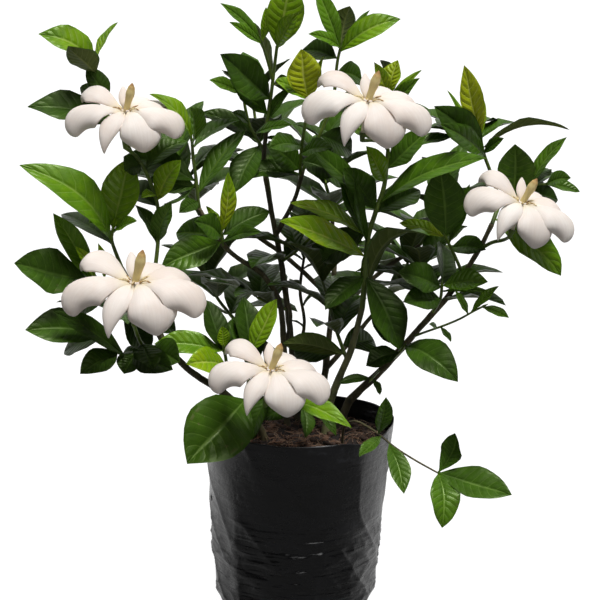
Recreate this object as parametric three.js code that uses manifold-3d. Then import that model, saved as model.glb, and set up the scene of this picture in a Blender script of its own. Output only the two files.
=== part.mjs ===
// A potted gardenia: a black film grow bag filled with potting mix, woody stems standing
// in it, leafy green shoots and five white blooms. Millimetres, +Z up, viewer at -Y.
// The origin is on the bag's flat bottom, under the middle of its rim.
import * as THREE from "three";
import { mergeVertices } from "three/addons/utils/BufferGeometryUtils.js";
import Module from "manifold-3d";

const wasm = await Module();
wasm.setup();

const UP = new THREE.Vector3(0, 0, 1);
const GAP = 0.3; // clearance between touching pieces
const MERGED_WITHIN = 1e-4; // mm between vertices that are one
const SIMPLIFIED_WITHIN = 0.2; // mm that facets may move when small ones are merged

// The front view: a sheet 600 mm square through the bag's axis, seen by a viewer who
// stands in front and looks slightly down. Places on the plant are given as
// [across, down, depth]: mm from the sheet's left edge, mm below its top edge, and mm
// behind the bag's axis.
const SHEET = 600;
const VIEW_DISTANCE = 2200;
const VIEW_ELEVATION = THREE.MathUtils.degToRad(13);
const VIEW_HEIGHT = 324;

const SHEET_UP = new THREE.Vector3(0, Math.sin(VIEW_ELEVATION), Math.cos(VIEW_ELEVATION));
const VIEWER = new THREE.Vector3(
  0,
  -VIEW_DISTANCE * Math.cos(VIEW_ELEVATION),
  VIEW_HEIGHT + VIEW_DISTANCE * Math.sin(VIEW_ELEVATION),
);

// The grow bag
const BAG_RADIUS = 96; // at the rim
const BAG_HEIGHT = 200;
const BAG_WALL = 1.2;
const BAG_FLOOR = 1.5;
const BAG_FLOOR_INSET = 4.8; // from the outside of the bag to the edge of its inner floor
const BAG_SIDES = 28;
const BAG_PROFILE = [ // [part of the rim radius, height]
  [0.58, 0],
  [0.76, 8],
  [0.852, 24],
  [0.88, 56],
  [0.934, 125],
  [1.0, 192],
];
const RIM_DIP = { azimuth: -40, depth: 6, spread: 14 }; // where a stem leans on the rim
const BAG_LEAN = -6; // mm in X from the rim's middle to the floor's
const BAG_LOBES = { amount: 0.012, count: 3, azimuth: 40 };
const PUNCHED_HOLES = [ // [azimuth, height, diameter]
  [190, 122, 7],
  [-35, 16, 6],
  [45, 16, 6],
  [135, 16, 6],
  [225, 16, 6],
];
const HOLE_SIDES = 8;
const PUNCH_LENGTH = 30;

// The potting mix
const SOIL_HEIGHT = 184;
const SOIL_LEVELS = [24, 56, 125]; // heights of the rings between its floor and its top
const SOIL_SLACK = 0.4;
const SOIL_FLOOR_INSET = 6;
const SOIL_RINGS = [0.3, 0.65, 0.96];
const SOIL_SIDES = 28;
const SOIL_ROUGHNESS = 3;
const SOIL_SEED = 41;

// Leaf blades, longest first: leaves at least this long have these rows of points, as
// parts of the length, and these columns, as parts of the half width
const BLADES = [
  { length: 110, rows: [0.2, 0.5, 0.8], columns: [-1, 0, 1] },
  { length: 60, rows: [0.3, 0.7], columns: [-1, 0, 1] },
  { length: 40, rows: [0.3, 0.68], columns: [-1, 1] },
  { length: 0, rows: [0.3, 0.7], columns: [-1, 1] },
];
const PLAIN_BLADE = { rows: [0.3, 0.68], columns: [-1, 1] }; // for leaves of whorls
const LEAF_THICKNESS = 0.8;
const LEAF_FOLD = 0.3; // rise of the blade's edge from the midrib, part of the half width
const PETIOLE_WIDTH = 1.8;
const PETIOLE_THICKNESS = 1.4;
const PETIOLE_ROOT = 0.4; // part of the stem's radius from its axis to the leaf's root
const END_ROOT = 2; // mm from a stem's end back to the roots of its last leaves
// A leaf that would touch another stem's leaf bends to or from the viewer, or turns
// about its stem, by the first of these steps that leaves it clear.
const BEND_STEPS = [0, 8, -8, 16, -16, 25, -25, 36, -36, 48, -48, 62, -62];
const TURN_STEPS = [0, 12, -12, 24, -24, 38, -38, 52, -52, 70, -70, 90, -90];
const LEAF_CLEARANCE = 0.4;

// Blooms, at the size of the smallest:
// [azimuth, length, width, rise, droop, bend, point]; a greater bend droops later
const PETALS = [
  [-22, 66, 44, 24, 108, 1.7, 0],
  [-54, 61, 48, 20, 112, 1.2, 0.1],
  [-116, 61, 27, 18, 92, 1.1, 0.9],
  [-150, 69, 42, 28, 104, 1.5, 0.1],
  [154, 64, 38, 46, 116, 2.4, 0.1],
  [104, 27, 13, 70, -20, 1.3, 0.7],
  [72, 48, 30, 36, 50, 1.3, 0.2],
  [26, 47, 36, 34, 56, 1.5, 0.1],
];
const PETAL_ROWS = [0.25, 0.6, 0.88];
const PETAL_COLUMNS = [-1, 0, 1];
const PETAL_THICKNESS = 0.9;
const PETAL_ROLL = 0.4; // fall of the petal's edge, part of the half width
const PETAL_ROOT_WIDTH = 3.6;
const PETAL_ROOT = { reach: 4.1, height: -0.6 }; // in the wall of the tube
const PETAL_STEPS = 48; // straight steps that a petal's midline is added up from
const COROLLA_TUBE = [ // [height, radius] of the tube under the petals
  [-28, 2.2],
  [-12, 2.6],
  [-4, 4.2],
  [1.5, 5.2],
];
const STYLE = [ // [height, radius] of the style in the throat
  [-6, 2.4],
  [0, 2.8],
  [10, 3.2],
  [18, 4.4],
  [24, 3.2],
  [28, 0.6],
];
const STYLE_LEAN = 11; // degrees to the right of the bloom's axis
const CALYX = { length: 9, radius: 3.6, overlap: 1 };
const TUBE_SIDES = 8;
const STYLE_SIDES = 6;

// Woody stems: each branch is a path with its first and last radius
const WOODY_STEMS = {
  woody_stem_left: [
    { path: [[268, 470, -12], [262, 425, -15], [222, 391, -25], [190, 372, -34], [163, 343, -38],
      [150, 305, -36], [155, 269, -32]], radii: [4.6, 2.2] },
    { path: [[163, 343, -38], [140, 300, -34], [122, 268, -38]], radii: [2.6, 2.1] },
    { path: [[176, 358, -36], [158, 352, -44], [140, 350, -50]], radii: [2.5, 2.1] },
  ],
  woody_stem_centre: [
    { path: [[320, 470, 0], [330, 400, 0], [345, 365, -5], [353, 345, -8], [362, 308, -10]],
      radii: [4.4, 3.0] },
  ],
  woody_stem_right: [
    { path: [[330, 470, 28], [345, 405, 20], [360, 390, 16], [381, 371, 12], [402, 348, 6],
      [432, 314, 0], [452, 292, -3], [480, 249, -6], [492, 224, -6]], radii: [4.6, 2.3] },
  ],
  woody_stem_inner: [
    { path: [[288, 470, 25], [287, 400, 26], [284, 350, 26], [281, 300, 22], [262, 272, 12],
      [235, 257, 0], [214, 235, -10], [199, 208, -15]], radii: [3.8, 2.1] },
    { path: [[284, 350, 26], [292, 318, 34], [284, 286, 38], [279, 256, 40]], radii: [2.2, 1.6] },
    { path: [[287, 400, 26], [268, 372, 20], [263, 340, 18], [270, 306, 22]], radii: [2.2, 1.6] },
  ],
  woody_stem_top: [
    { path: [[300, 470, 52], [298, 400, 54], [290, 330, 54], [283, 270, 50], [272, 215, 40],
      [263, 165, 30], [267, 122, 22]], radii: [4.2, 2.1] },
    { path: [[276, 235, 44], [295, 200, 30], [303, 170, 14]], radii: [2.5, 2.0] },
    { path: [[294, 365, 54], [306, 325, 60], [299, 290, 64], [304, 258, 62]], radii: [2.0, 1.5] },
  ],
  woody_stem_back: [
    { path: [[318, 470, 62], [322, 400, 72], [330, 330, 90], [335, 270, 112], [332, 215, 128]],
      radii: [4.2, 2.2] },
    { path: [[325, 370, 78], [360, 330, 108], [385, 300, 130]], radii: [2.7, 2.1] },
    { path: [[331, 320, 92], [375, 275, 100], [420, 245, 104]], radii: [2.6, 2.1] },
    { path: [[322, 400, 72], [275, 350, 96], [235, 320, 120]], radii: [2.7, 2.1] },
    { path: [[333, 300, 98], [285, 255, 112], [240, 225, 112], [200, 215, 104]], radii: [2.6, 2.1] },
  ],
};
const WOODY_SIDES = 6;
const STEM_SIDE = new THREE.Vector3(0.9, 0.4, 0.1); // where each stem's facets start
const HOLE_CLEARANCE = 0.5;

// Leafy shoots. A leaf seen in front is
// [part of the stem, across, down, depth of its tip, width, face, arch]:
// face is the turn of its upper side in degrees, 0 to the viewer, 90 up, 180 away;
// arch is the rise of its midrib, part of its length.
// A whorl is [part of the stem, leaves, length, width, lift, azimuth], lift in degrees.
const SHOOTS = {
  shoot_left_top: {
    path: [[134, 158, -24], [118, 124, -12], [105, 91, -8], [98, 75, -8], [93, 62, -8]],
    radii: [1.8, 1.5],
    leaves: [
      [0.93, 38, 34, -30, 33, 40, 0.2],
      [1.0, 118, 22, 4, 14, 60, 0.06],
      [0.9, 68, 46, -46, 28, 150, -0.08],
      [0.6, 86, 68, -20, 22, 20, 0.08],
      [0.75, 83, 102, 14, 24, 30, 0.1],
      [0.36, 27, 107, -40, 36, 38, 0.1],
    ],
  },
  shoot_bloom_1: {
    path: [[155, 269, -32], [158, 245, -30], [159, 208, -28], [150, 180, -32], [137, 156, -40]],
    radii: [2.0, 1.8], bloom: true,
    leaves: [
      [0.17, 135, 205, -15, 20, 50, 0.1],
      [0.2, 172, 202, -44, 22, 30, 0.08],
      [0.5, 181, 160, -38, 26, 30, 0.08],
      [0.75, 187, 141, -10, 26, 40, 0.1],
      [0.55, 141, 198, -58, 11, 40, 0.1],
      [0.45, 112, 190, 10, 34, 45, 0.08],
      [0.8, 124, 170, -44, 26, 30, 0.08],
    ],
  },
  shoot_left_inner: {
    path: [[199, 208, -15], [197, 192, -17], [196, 178, -19], [193, 158, -21], [192, 141, -22]],
    radii: [2.0, 1.6],
    leaves: [
      [1.0, 149, 94, -34, 22, 55, 0.18],
      [1.0, 190, 107, -70, 30, 60, 0.08],
      [0.4, 123, 157, -20, 36, 30, 0.1],
      [0.3, 150, 178, -8, 26, 20, 0.08],
      [0.2, 246, 130, 8, 26, 40, 0.06],
      [0.9, 240, 120, 22, 22, 55, 0.08],
      [0.4, 163, 204, -34, 9, 60, -0.2],
      [0.1, 179, 213, -40, 16, 20, 0.08],
      [0.6, 224, 146, 60, 20, 60, 0.08],
    ],
  },
  shoot_left_middle: {
    path: [[122, 268, -38], [117, 256, -42], [111, 240, -45], [113, 228, -46]],
    radii: [2.0, 1.6],
    leaves: [
      [0.7, 19, 165, -78, 38, 32, 0.2],
      [1.0, 130, 158, -34, 38, 15, 0.06],
      [0.9, 137, 221, -66, 18, 60, 0.05],
      [0.9, 88, 222, -56, 14, 60, 0.05],
      [1.0, 117, 217, -50, 5, 20, 0],
      [0.6, 62, 214, 20, 34, 50, 0.06],
    ],
  },
  shoot_left_low_twig: {
    path: [[131, 284, -36], [115, 280, -42], [98, 280, -48], [86, 281, -54]],
    radii: [1.8, 1.5],
    leaves: [
      [0.9, 53, 213, -62, 24, 15, 0.06],
      [1.0, 14, 263, -90, 46, 25, -0.02],
      [0.8, 75, 246, -76, 12, 30, 0.05],
      [0.6, 98, 243, -66, 10, 30, 0.05],
      [0.7, 50, 276, 0, 30, 60, 0.08],
      [0.45, 76, 314, -34, 28, 30, 0.06],
    ],
  },
  shoot_bloom_2: {
    path: [[150, 351, -47], [142, 345, -64], [138, 337, -88]],
    radii: [2.2, 2.0], bloom: true,
    leaves: [
      [0.3, 153, 370, -98, 28, 20, 0.08],
      [0.05, 180, 362, -72, 34, 15, 0.04],
    ],
  },
  shoot_left_low: {
    path: [[140, 350, -50], [128, 358, -54], [114, 350, -58], [102, 333, -60]],
    radii: [2.0, 1.6],
    leaves: [
      [1.0, 25, 330, -84, 40, 30, 0.06],
      [0.35, 52, 311, -96, 24, 35, 0.05],
      [0.5, 80, 374, -88, 28, 25, 0.08],
      [0.2, 173, 370, -84, 30, 20, 0.06],
      [0.1, 124, 374, -66, 26, 25, 0.06],
      [0.9, 64, 352, -20, 28, 40, 0.06],
      [0.4, 144, 351, -92, 9, 30, 0.08],
    ],
  },
  shoot_left_leaves: {
    path: [[226, 250, -3], [222, 243, -8], [221, 232, -12]],
    radii: [1.8, 1.5],
    leaves: [
      [0.5, 161, 267, -34, 33, 15, 0.06],
      [0.7, 176, 233, 14, 34, 30, 0.06],
      [0.8, 194, 221, -40, 26, 30, 0.1],
      [0.8, 270, 211, 8, 28, 30, 0.06],
      [1.0, 228, 172, -16, 17, 20, 0.05],
      [0.9, 206, 206, -4, 12, 40, 0.05],
      [0.5, 262, 232, -30, 16, 40, 0.08],
    ],
  },
  shoot_left_base: {
    path: [[224, 392, -24], [227, 372, -34], [226, 358, -38], [223, 346, -40]],
    radii: [2.0, 1.6],
    leaves: [
      [0.9, 154, 344, -56, 28, 30, 0.05],
      [0.6, 186, 364, -72, 30, 30, 0.1],
      [1.0, 222, 326, -42, 14, 20, 0],
      [0.8, 205, 300, -20, 26, 30, 0.06],
      [0.9, 256, 318, -20, 30, 25, 0.06],
    ],
  },
  shoot_bloom_5: {
    path: [[285, 372, 26], [276, 384, -8], [269, 396, -50], [266, 405, -78]],
    radii: [2.2, 2.0], bloom: true,
    leaves: [
      [0.6, 352, 428, -96, 24, 40, 0.08],
      [0.5, 252, 440, -60, 20, 30, 0.1],
    ],
  },
  shoot_low_left: {
    path: [[243, 409, -20], [247, 398, -44], [249, 374, -52], [250, 352, -54]],
    radii: [2.0, 1.5],
    leaves: [
      [0.36, 187, 464, -106, 66, 8, 0.08],
      [1.0, 277, 299, -50, 24, 25, 0.05],
      [0.96, 243, 297, -30, 28, 20, 0.06],
      [0.9, 232, 318, -46, 22, 30, 0.06],
      [0.7, 268, 306, -10, 28, 25, 0.06],
    ],
  },
  shoot_low_centre: {
    path: [[331, 399, 0], [318, 398, -22], [306, 404, -34], [298, 402, -40]],
    radii: [1.8, 1.5],
    leaves: [
      [1.0, 262, 420, -58, 24, 30, 0.08],
      [0.9, 305, 438, -62, 18, 40, 0.08],
      [0.7, 336, 436, -48, 14, 40, 0.08],
    ],
  },
  shoot_centre: {
    path: [[362, 308, -10], [364, 290, -10], [366, 258, -10], [368, 235, -9], [378, 205, -8],
      [385, 185, -8], [388, 150, -10]],
    radii: [3.0, 2.0],
    leaves: [
      [0.02, 430, 236, -66, 32, 125, 0.3],
      [0.32, 279, 221, -76, 34, 45, 0.06],
      [0.45, 290, 203, -20, 26, 50, 0.06],
      [0.4, 354, 178, -34, 12, 30, 0.04],
      [0.42, 338, 171, -4, 16, 30, 0.04],
      [0.66, 308, 142, -14, 26, 40, -0.06],
      [0.66, 487, 158, -50, 34, 50, 0.1],
      [0.62, 343, 168, 8, 32, 30, 0.06],
      [0.8, 366, 146, -42, 22, 30, 0.05],
      [0.88, 427, 132, -16, 30, 35, 0.05],
      [0.95, 457, 136, 14, 18, 50, 0.05],
      [0.2, 400, 350, -30, 38, 25, 0.06],
      [0.2, 325, 310, -50, 28, 35, 0.06],
      [0.5, 322, 262, 10, 34, 30, 0.06],
      [0.6, 420, 190, 24, 34, 35, 0.06],
    ],
  },
  shoot_bloom_3: {
    path: [[388, 150, -10], [384, 143, -20], [374, 140, -38]],
    radii: [2.0, 1.8], bloom: true,
    leaves: [
      [0.3, 350, 128, -14, 18, 40, 0.08],
    ],
  },
  shoot_right_top: {
    path: [[386, 168, -9], [398, 140, 14], [392, 114, 20], [386, 96, 18]],
    radii: [1.8, 1.5],
    leaves: [
      [0.9, 374, 62, -4, 16, 30, 0.06],
      [1.0, 398, 60, 8, 22, 30, 0.06],
      [0.95, 422, 70, 14, 9, 40, 0.04],
      [0.8, 420, 78, -16, 16, 40, 0.08],
      [0.6, 430, 110, 36, 32, 40, 0.08],
      [0.9, 380, 60, 60, 30, 100, 0.06],
    ],
  },
  shoot_top_right: {
    path: [[303, 170, 14], [318, 140, 10], [334, 100, 8], [337, 62, 4], [341, 46, 2]],
    radii: [2.0, 1.5],
    leaves: [
      [1.0, 316, -12, 4, 20, 20, 0.05],
      [1.0, 350, 6, -14, 30, 150, 0.1],
      [1.0, 370, 10, 14, 9, 40, 0.04],
      [0.95, 401, 19, -4, 26, 30, 0.19],
      [0.98, 308, 34, -20, 14, 40, 0.16],
      [0.8, 362, 80, 26, 26, 35, 0.06],
      [0.9, 302, 50, 24, 28, 35, 0.06],
      [0.5, 370, 112, 60, 34, 50, 0.08],
      [0.3, 352, 152, 34, 32, 35, 0.06],
      [0.1, 348, 186, 30, 30, 35, 0.06],
    ],
  },
  shoot_top_middle: {
    path: [[300, 180, 22], [301, 150, -8], [306, 120, -16], [309, 98, -20]],
    radii: [1.8, 1.5],
    leaves: [
      [1.0, 301, 49, -28, 34, 10, 0.04],
      [0.9, 324, 56, -8, 10, 40, 0.05],
      [1.0, 275, 80, -40, 20, 40, 0.08],
      [0.5, 268, 148, -40, 24, 35, 0.08],
      [0.4, 333, 148, -36, 20, 40, 0.08],
      [0.08, 234, 176, 10, 30, 50, 0.06],
      [0.15, 266, 144, 0, 34, 35, 0.06],
      [0.3, 336, 176, -10, 32, 30, 0.06],
    ],
  },
  shoot_top: {
    path: [[267, 122, 22], [272, 88, 16], [275, 62, 12], [277, 46, 10]],
    radii: [2.0, 1.6],
    leaves: [
      [1.0, 290, -20, 2, 38, 12, 0.05],
      [0.98, 299, 12, -24, 20, 30, 0.05],
      [0.3, 220, 54, -26, 36, 22, 0.06],
      [0.1, 229, 79, -6, 22, 30, 0.06],
      [0.5, 290, 84, 0, 18, 160, 0.06],
      [0.02, 292, 87, 10, 13, 40, 0.06],
      [0.6, 246, 20, 50, 26, 110, 0.06],
    ],
  },
  shoot_top_twig: {
    path: [[273, 82, 15], [268, 62, 8], [261, 40, 2]],
    radii: [1.6, 1.3],
    leaves: [
      [1.0, 220, 3, -8, 14, 35, 0.08],
      [0.9, 229, 22, -22, 11, 35, 0.06],
      [1.0, 266, 7, -4, 11, 20, 0.04],
    ],
  },
  shoot_top_left: {
    path: [[264, 150, 27], [250, 128, 22], [245, 108, 18], [243, 92, 16]],
    radii: [1.7, 1.4],
    leaves: [
      [1.0, 209, 80, 6, 16, 40, 0.08],
      [0.2, 202, 112, 4, 24, 40, 0.08],
      [0.5, 232, 112, 0, 12, 40, 0.05],
      [0.3, 292, 125, 2, 15, 50, 0.06],
      [0.1, 236, 192, 10, 30, 25, 0.06],
      [0.8, 230, 60, 50, 26, 100, 0.06],
    ],
  },
  shoot_right_middle: {
    path: [[463, 275, -4], [455, 256, -12], [445, 236, -22]],
    radii: [1.8, 1.5],
    leaves: [
      [1.0, 440, 167, -28, 42, 5, 0.04],
      [1.0, 399, 223, -44, 18, 40, 0.06],
      [0.8, 470, 184, -20, 14, 20, 0.04],
      [0.7, 486, 250, -42, 24, 35, 0.08],
    ],
  },
  shoot_right_low: {
    path: [[432, 314, 0], [441, 299, -14], [442, 284, -18]],
    radii: [1.8, 1.5],
    leaves: [
      [1.0, 488, 282, -36, 26, 35, 0.06],
      [0.9, 398, 272, -34, 32, 30, 0.06],
      [0.6, 403, 302, -44, 28, 30, 0.06],
      [0.8, 490, 292, -18, 9, 40, 0.05],
      [1.0, 440, 242, 36, 30, 50, 0.06],
    ],
  },
  shoot_right_base: {
    path: [[392, 359, 9], [401, 351, -14], [405, 345, -22]],
    radii: [1.8, 1.5],
    leaves: [
      [1.0, 458, 382, -62, 37, 25, 0.2],
      [0.9, 372, 306, -22, 34, 25, 0.06],
      [0.6, 366, 366, -16, 24, 30, 0.08],
    ],
  },
  shoot_right_sprig: {
    path: [[381, 369, 12], [375, 375, -2], [371, 380, -8]],
    radii: [1.3, 1.1],
    leaves: [
      [1.0, 338, 384, -14, 12, 40, 0.06],
      [0.9, 380, 395, -12, 9, 40, 0.05],
    ],
  },
  shoot_right_twig: {
    path: [[412, 337, 4], [428, 331, -14], [443, 326, -24], [460, 319, -31], [474, 311, -36],
      [484, 306, -38]],
    radii: [1.3, 1.0],
    leaves: [
      [0.8, 455, 291, -38, 10, 40, 0.06],
      [0.85, 499, 286, -40, 12, 40, 0.06],
      [1.0, 509, 318, -50, 12, 40, 0.06],
      [0.4, 429, 324, -40, 7, 40, 0.05],
      [0.45, 451, 342, -40, 8, 40, 0.05],
    ],
  },
  shoot_bloom_4: {
    path: [[480, 249, -6], [492, 242, -16], [504, 240, -28]],
    radii: [2.0, 1.8], bloom: true,
  },
  shoot_right_upper: {
    path: [[492, 224, -6], [500, 202, 8], [492, 176, 10], [483, 152, 4], [480, 134, 2]],
    radii: [2.2, 1.6],
    leaves: [
      [0.06, 561, 276, -26, 36, 30, 0.16],
      [1.0, 464, 65, -16, 24, 15, 0.04],
      [1.0, 483, 98, 6, 9, 30, 0.02],
      [0.8, 434, 106, -24, 34, 20, 0.06],
      [0.75, 440, 124, -46, 24, 30, 0.08],
      [0.9, 447, 90, 14, 8, 40, 0.02],
      [0.85, 570, 130, -14, 22, 108, 0.16],
      [0.8, 504, 138, -18, 12, 30, 0.04],
    ],
  },
  shoot_right_tip: {
    path: [[498, 208, 4], [514, 196, 22], [534, 184, 26], [548, 184, 24]],
    radii: [1.8, 1.3],
    leaves: [
      [0.4, 515, 144, 14, 38, 10, 0.04],
      [0.7, 567, 137, 22, 18, 40, 0.05],
      [1.0, 571, 178, 6, 18, 35, 0.05],
      [1.0, 580, 192, 26, 14, 40, 0.05],
      [0.6, 560, 174, 70, 30, 60, 0.06],
      [0.5, 558, 200, 40, 30, 40, 0.06],
      [0.8, 546, 168, 44, 26, 35, 0.06],
    ],
  },
  shoot_trailing: {
    path: [[344, 470, -22], [342, 440, -24], [344, 424, -34], [356, 420, -50], [375, 431, -72],
      [396, 448.5, -86], [418, 462, -92], [440, 474, -94]],
    radii: [2.4, 1.5],
    leaves: [
      [0.6, 386, 397, -88, 18, 25, 0.04],
      [0.62, 359, 457, -108, 14, 30, 0.05],
      [0.68, 404, 494, -120, 22, 20, 0.05],
      [1.0, 455, 433, -104, 24, 25, -0.2],
      [1.0, 512, 495, -124, 36, 30, 0.0],
      [1.0, 442, 528, -128, 30, 20, 0.2],
    ],
  },
  shoot_inner_low: {
    path: [[347, 360, -6], [336, 330, 22], [328, 300, 34], [322, 280, 38]],
    radii: [2.0, 1.5],
    leaves: [
      [0.07, 283, 343, -40, 25, 150, 0.05],
      [0.12, 294, 352, 40, 32, 30, 0.06],
      [0.2, 374, 340, 40, 32, 30, 0.06],
    ],
    whorls: [[0.35, 2, 74, 34, 15, 80], [0.65, 3, 76, 34, 20, 200], [1.0, 3, 70, 32, 40, 70]],
  },
  shoot_inner_middle: {
    path: [[281, 262, 49], [298, 250, 32], [312, 236, 20]],
    radii: [1.9, 1.5],
    whorls: [[0.1, 2, 72, 34, 0, 60], [0.5, 3, 72, 34, 10, 120], [1.0, 3, 74, 34, 25, 250]],
  },
  shoot_inner_right: {
    path: [[438, 307, -1], [428, 286, 24], [420, 268, 34]],
    radii: [1.9, 1.5],
    whorls: [[0.1, 2, 74, 34, 0, 150], [0.5, 3, 74, 34, 10, 200], [1.0, 3, 74, 34, 25, 280]],
  },
  shoot_inner_low_left: {
    path: [[288, 310, 53], [270, 304, 36], [258, 298, 24]],
    radii: [1.9, 1.5],
    whorls: [[0.5, 3, 72, 34, 10, 250], [1.0, 3, 74, 34, 15, 180]],
  },
  shoot_inner_top: {
    path: [[306, 164, 13], [326, 168, 26], [344, 160, 30]],
    radii: [1.8, 1.5],
    whorls: [[0.5, 3, 68, 32, 20, 80], [1.0, 3, 70, 32, 30, 280]],
  },
  shoot_inner_right_top: {
    path: [[484, 156, 5], [470, 144, 24], [458, 132, 30]],
    radii: [1.7, 1.4],
    whorls: [[0.5, 2, 58, 28, 15, 220], [1.0, 3, 58, 28, 10, 150]],
  },
  shoot_inner_left_low: {
    path: [[138, 300, -34], [128, 310, -8], [122, 318, 6]],
    radii: [1.8, 1.4],
    leaves: [
      [0.45, 176, 331, 2, 32, 30, 0.08],
      [1.0, 146, 356, 10, 32, 30, 0.08],
    ],
    whorls: [[0.5, 2, 62, 30, 10, 200], [1.0, 3, 68, 32, 5, 170]],
  },
  shoot_back_middle: {
    path: [[332, 215, 128], [328, 190, 140], [318, 165, 148]],
    radii: [2.0, 1.5],
    whorls: [[0.1, 3, 84, 38, 15, 30], [0.6, 3, 80, 36, 30, 90], [1.0, 3, 70, 32, 55, 30]],
  },
  shoot_back_low_right: {
    path: [[385, 300, 130], [400, 282, 146], [408, 262, 156]],
    radii: [2.0, 1.5],
    whorls: [[0.15, 3, 84, 38, 5, 60], [0.6, 3, 84, 36, 20, 0], [1.0, 3, 70, 32, 45, 50]],
  },
  shoot_back_right: {
    path: [[420, 245, 104], [436, 222, 106], [446, 196, 104]],
    radii: [2.0, 1.5],
    whorls: [[0.2, 3, 80, 38, 15, 20], [0.7, 3, 76, 34, 25, 80], [1.0, 2, 62, 28, 55, 40]],
  },
  shoot_back_low_left: {
    path: [[235, 320, 120], [218, 300, 134], [208, 280, 142]],
    radii: [2.0, 1.5],
    whorls: [[0.15, 3, 84, 38, 5, 90], [0.6, 3, 84, 36, 20, 30], [1.0, 3, 70, 32, 45, 80]],
  },
  shoot_back_left: {
    path: [[200, 215, 104], [186, 190, 106], [176, 160, 102]],
    radii: [2.0, 1.5],
    whorls: [[0.2, 3, 82, 38, 15, 50], [0.6, 3, 80, 36, 25, 110], [1.0, 3, 68, 30, 50, 50]],
  },
  shoot_back_top: {
    path: [[272, 215, 40], [268, 180, 68], [258, 140, 84], [254, 110, 90]],
    radii: [2.0, 1.5],
    whorls: [[0.4, 3, 82, 38, 10, 80], [0.7, 3, 78, 34, 25, 40], [1.0, 3, 66, 28, 50, 100]],
  },
};
const SHOOT_SIDES = 5;
const WHORL_SEED = 7;
const WHORL_JITTER = { azimuth: 14, lift: 9, length: 0.1 };
const WHORL_ARCH = 0.1;

// Blooms: the shoot that bears each, the place of its throat, its size, and how its
// axis leans to the viewer's right and towards the viewer, in degrees
const BLOOMS = {
  bloom_1: { shoot: "shoot_bloom_1", place: [126, 111, -54], size: 1.0, lean: 3, tip: 6 },
  bloom_2: { shoot: "shoot_bloom_2", place: [135, 283, -122], size: 1.2, lean: 3, tip: 6 },
  bloom_3: { shoot: "shoot_bloom_3", place: [368, 101, -66], size: 1.1, lean: 8, tip: 6 },
  bloom_4: { shoot: "shoot_bloom_4", place: [522, 203, -48], size: 1.0, lean: 18, tip: 6 },
  bloom_5: { shoot: "shoot_bloom_5", place: [271, 370, -112], size: 1.03, lean: 9, tip: 6 },
};

const COLOURS = {
  bag: { color: 0x1a1b1d, roughness: 0.38 },
  soil: { color: 0x3a2416, roughness: 0.95 },
  bark: { color: 0x5a4a35, roughness: 0.85 },
  leaf: { color: 0x2f5a14, roughness: 0.4 },
  petal: { color: 0xf3ebe4, roughness: 0.55 },
  style: { color: 0xd8c48a, roughness: 0.6 },
};

const degrees = THREE.MathUtils.degToRad;

/** A seeded source of numbers from 0 to 1. */
function numberSource(seed) {
  let state = seed;
  return () => {
    state = (state * 16807) % 2147483647;
    return state / 2147483647;
  };
}

/** The point at a place in the front view, in part coordinates. */
function seen([across, down, depth]) {
  const onSheet = new THREE.Vector3(across - SHEET / 2, 0, VIEW_HEIGHT)
    .addScaledVector(SHEET_UP, SHEET / 2 - down);
  const reach = (depth - VIEWER.y) / (onSheet.y - VIEWER.y);
  return VIEWER.clone().lerp(onSheet, reach);
}

/** The part of a vector that is square to an axis, as a unit vector. */
function squareTo(vector, axis) {
  return vector.clone().addScaledVector(axis, -vector.dot(axis)).normalize();
}

/** A closed solid from a three.js geometry. */
function solidFrom(geometry) {
  const bare = geometry.clone();
  bare.deleteAttribute("normal");
  bare.deleteAttribute("uv");
  const merged = mergeVertices(bare, MERGED_WITHIN);
  return new wasm.Manifold(new wasm.Mesh({
    numProp: 3,
    vertProperties: Float32Array.from(merged.attributes.position.array),
    triVerts: Uint32Array.from(merged.index.array),
  }));
}

/** A closed solid from points and triangles that face out. */
function solidOf(points, triangles) {
  const geometry = new THREE.BufferGeometry().setFromPoints(points);
  geometry.setIndex(triangles.flat());
  return solidFrom(geometry);
}

/** A three.js geometry from the largest body of a closed solid: loose scraps are dropped. */
function geometryFrom(solid) {
  const [body] = solid.decompose().sort((a, b) => b.volume() - a.volume());
  const { vertProperties, triVerts } = body.asOriginal().simplify(SIMPLIFIED_WITHIN).getMesh();
  const geometry = new THREE.BufferGeometry();
  geometry.setAttribute("position", new THREE.BufferAttribute(vertProperties, 3));
  geometry.setIndex(new THREE.BufferAttribute(triVerts, 1));
  geometry.computeVertexNormals();
  return geometry;
}

/** A closed solid through rings of points, each ring counter-clockwise seen from its end. */
function ringSolid(rings) {
  const count = rings[0].length;
  const triangles = [];
  for (let ring = 0; ring + 1 < rings.length; ring += 1) {
    for (let side = 0; side < count; side += 1) {
      const a = ring * count + side;
      const b = ring * count + (side + 1) % count;
      triangles.push([a, b, b + count], [a, b + count, a + count]);
    }
  }
  const last = (rings.length - 1) * count;
  for (let side = 1; side + 1 < count; side += 1) {
    triangles.push([0, side + 1, side], [last, last + side, last + side + 1]);
  }
  return solidOf(rings.flat(), triangles);
}

/** A path of straight stretches through points. */
function pathThrough(points) {
  const path = new THREE.CurvePath();
  points.slice(1).forEach((point, index) => path.add(new THREE.LineCurve3(points[index], point)));
  return path;
}

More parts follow.
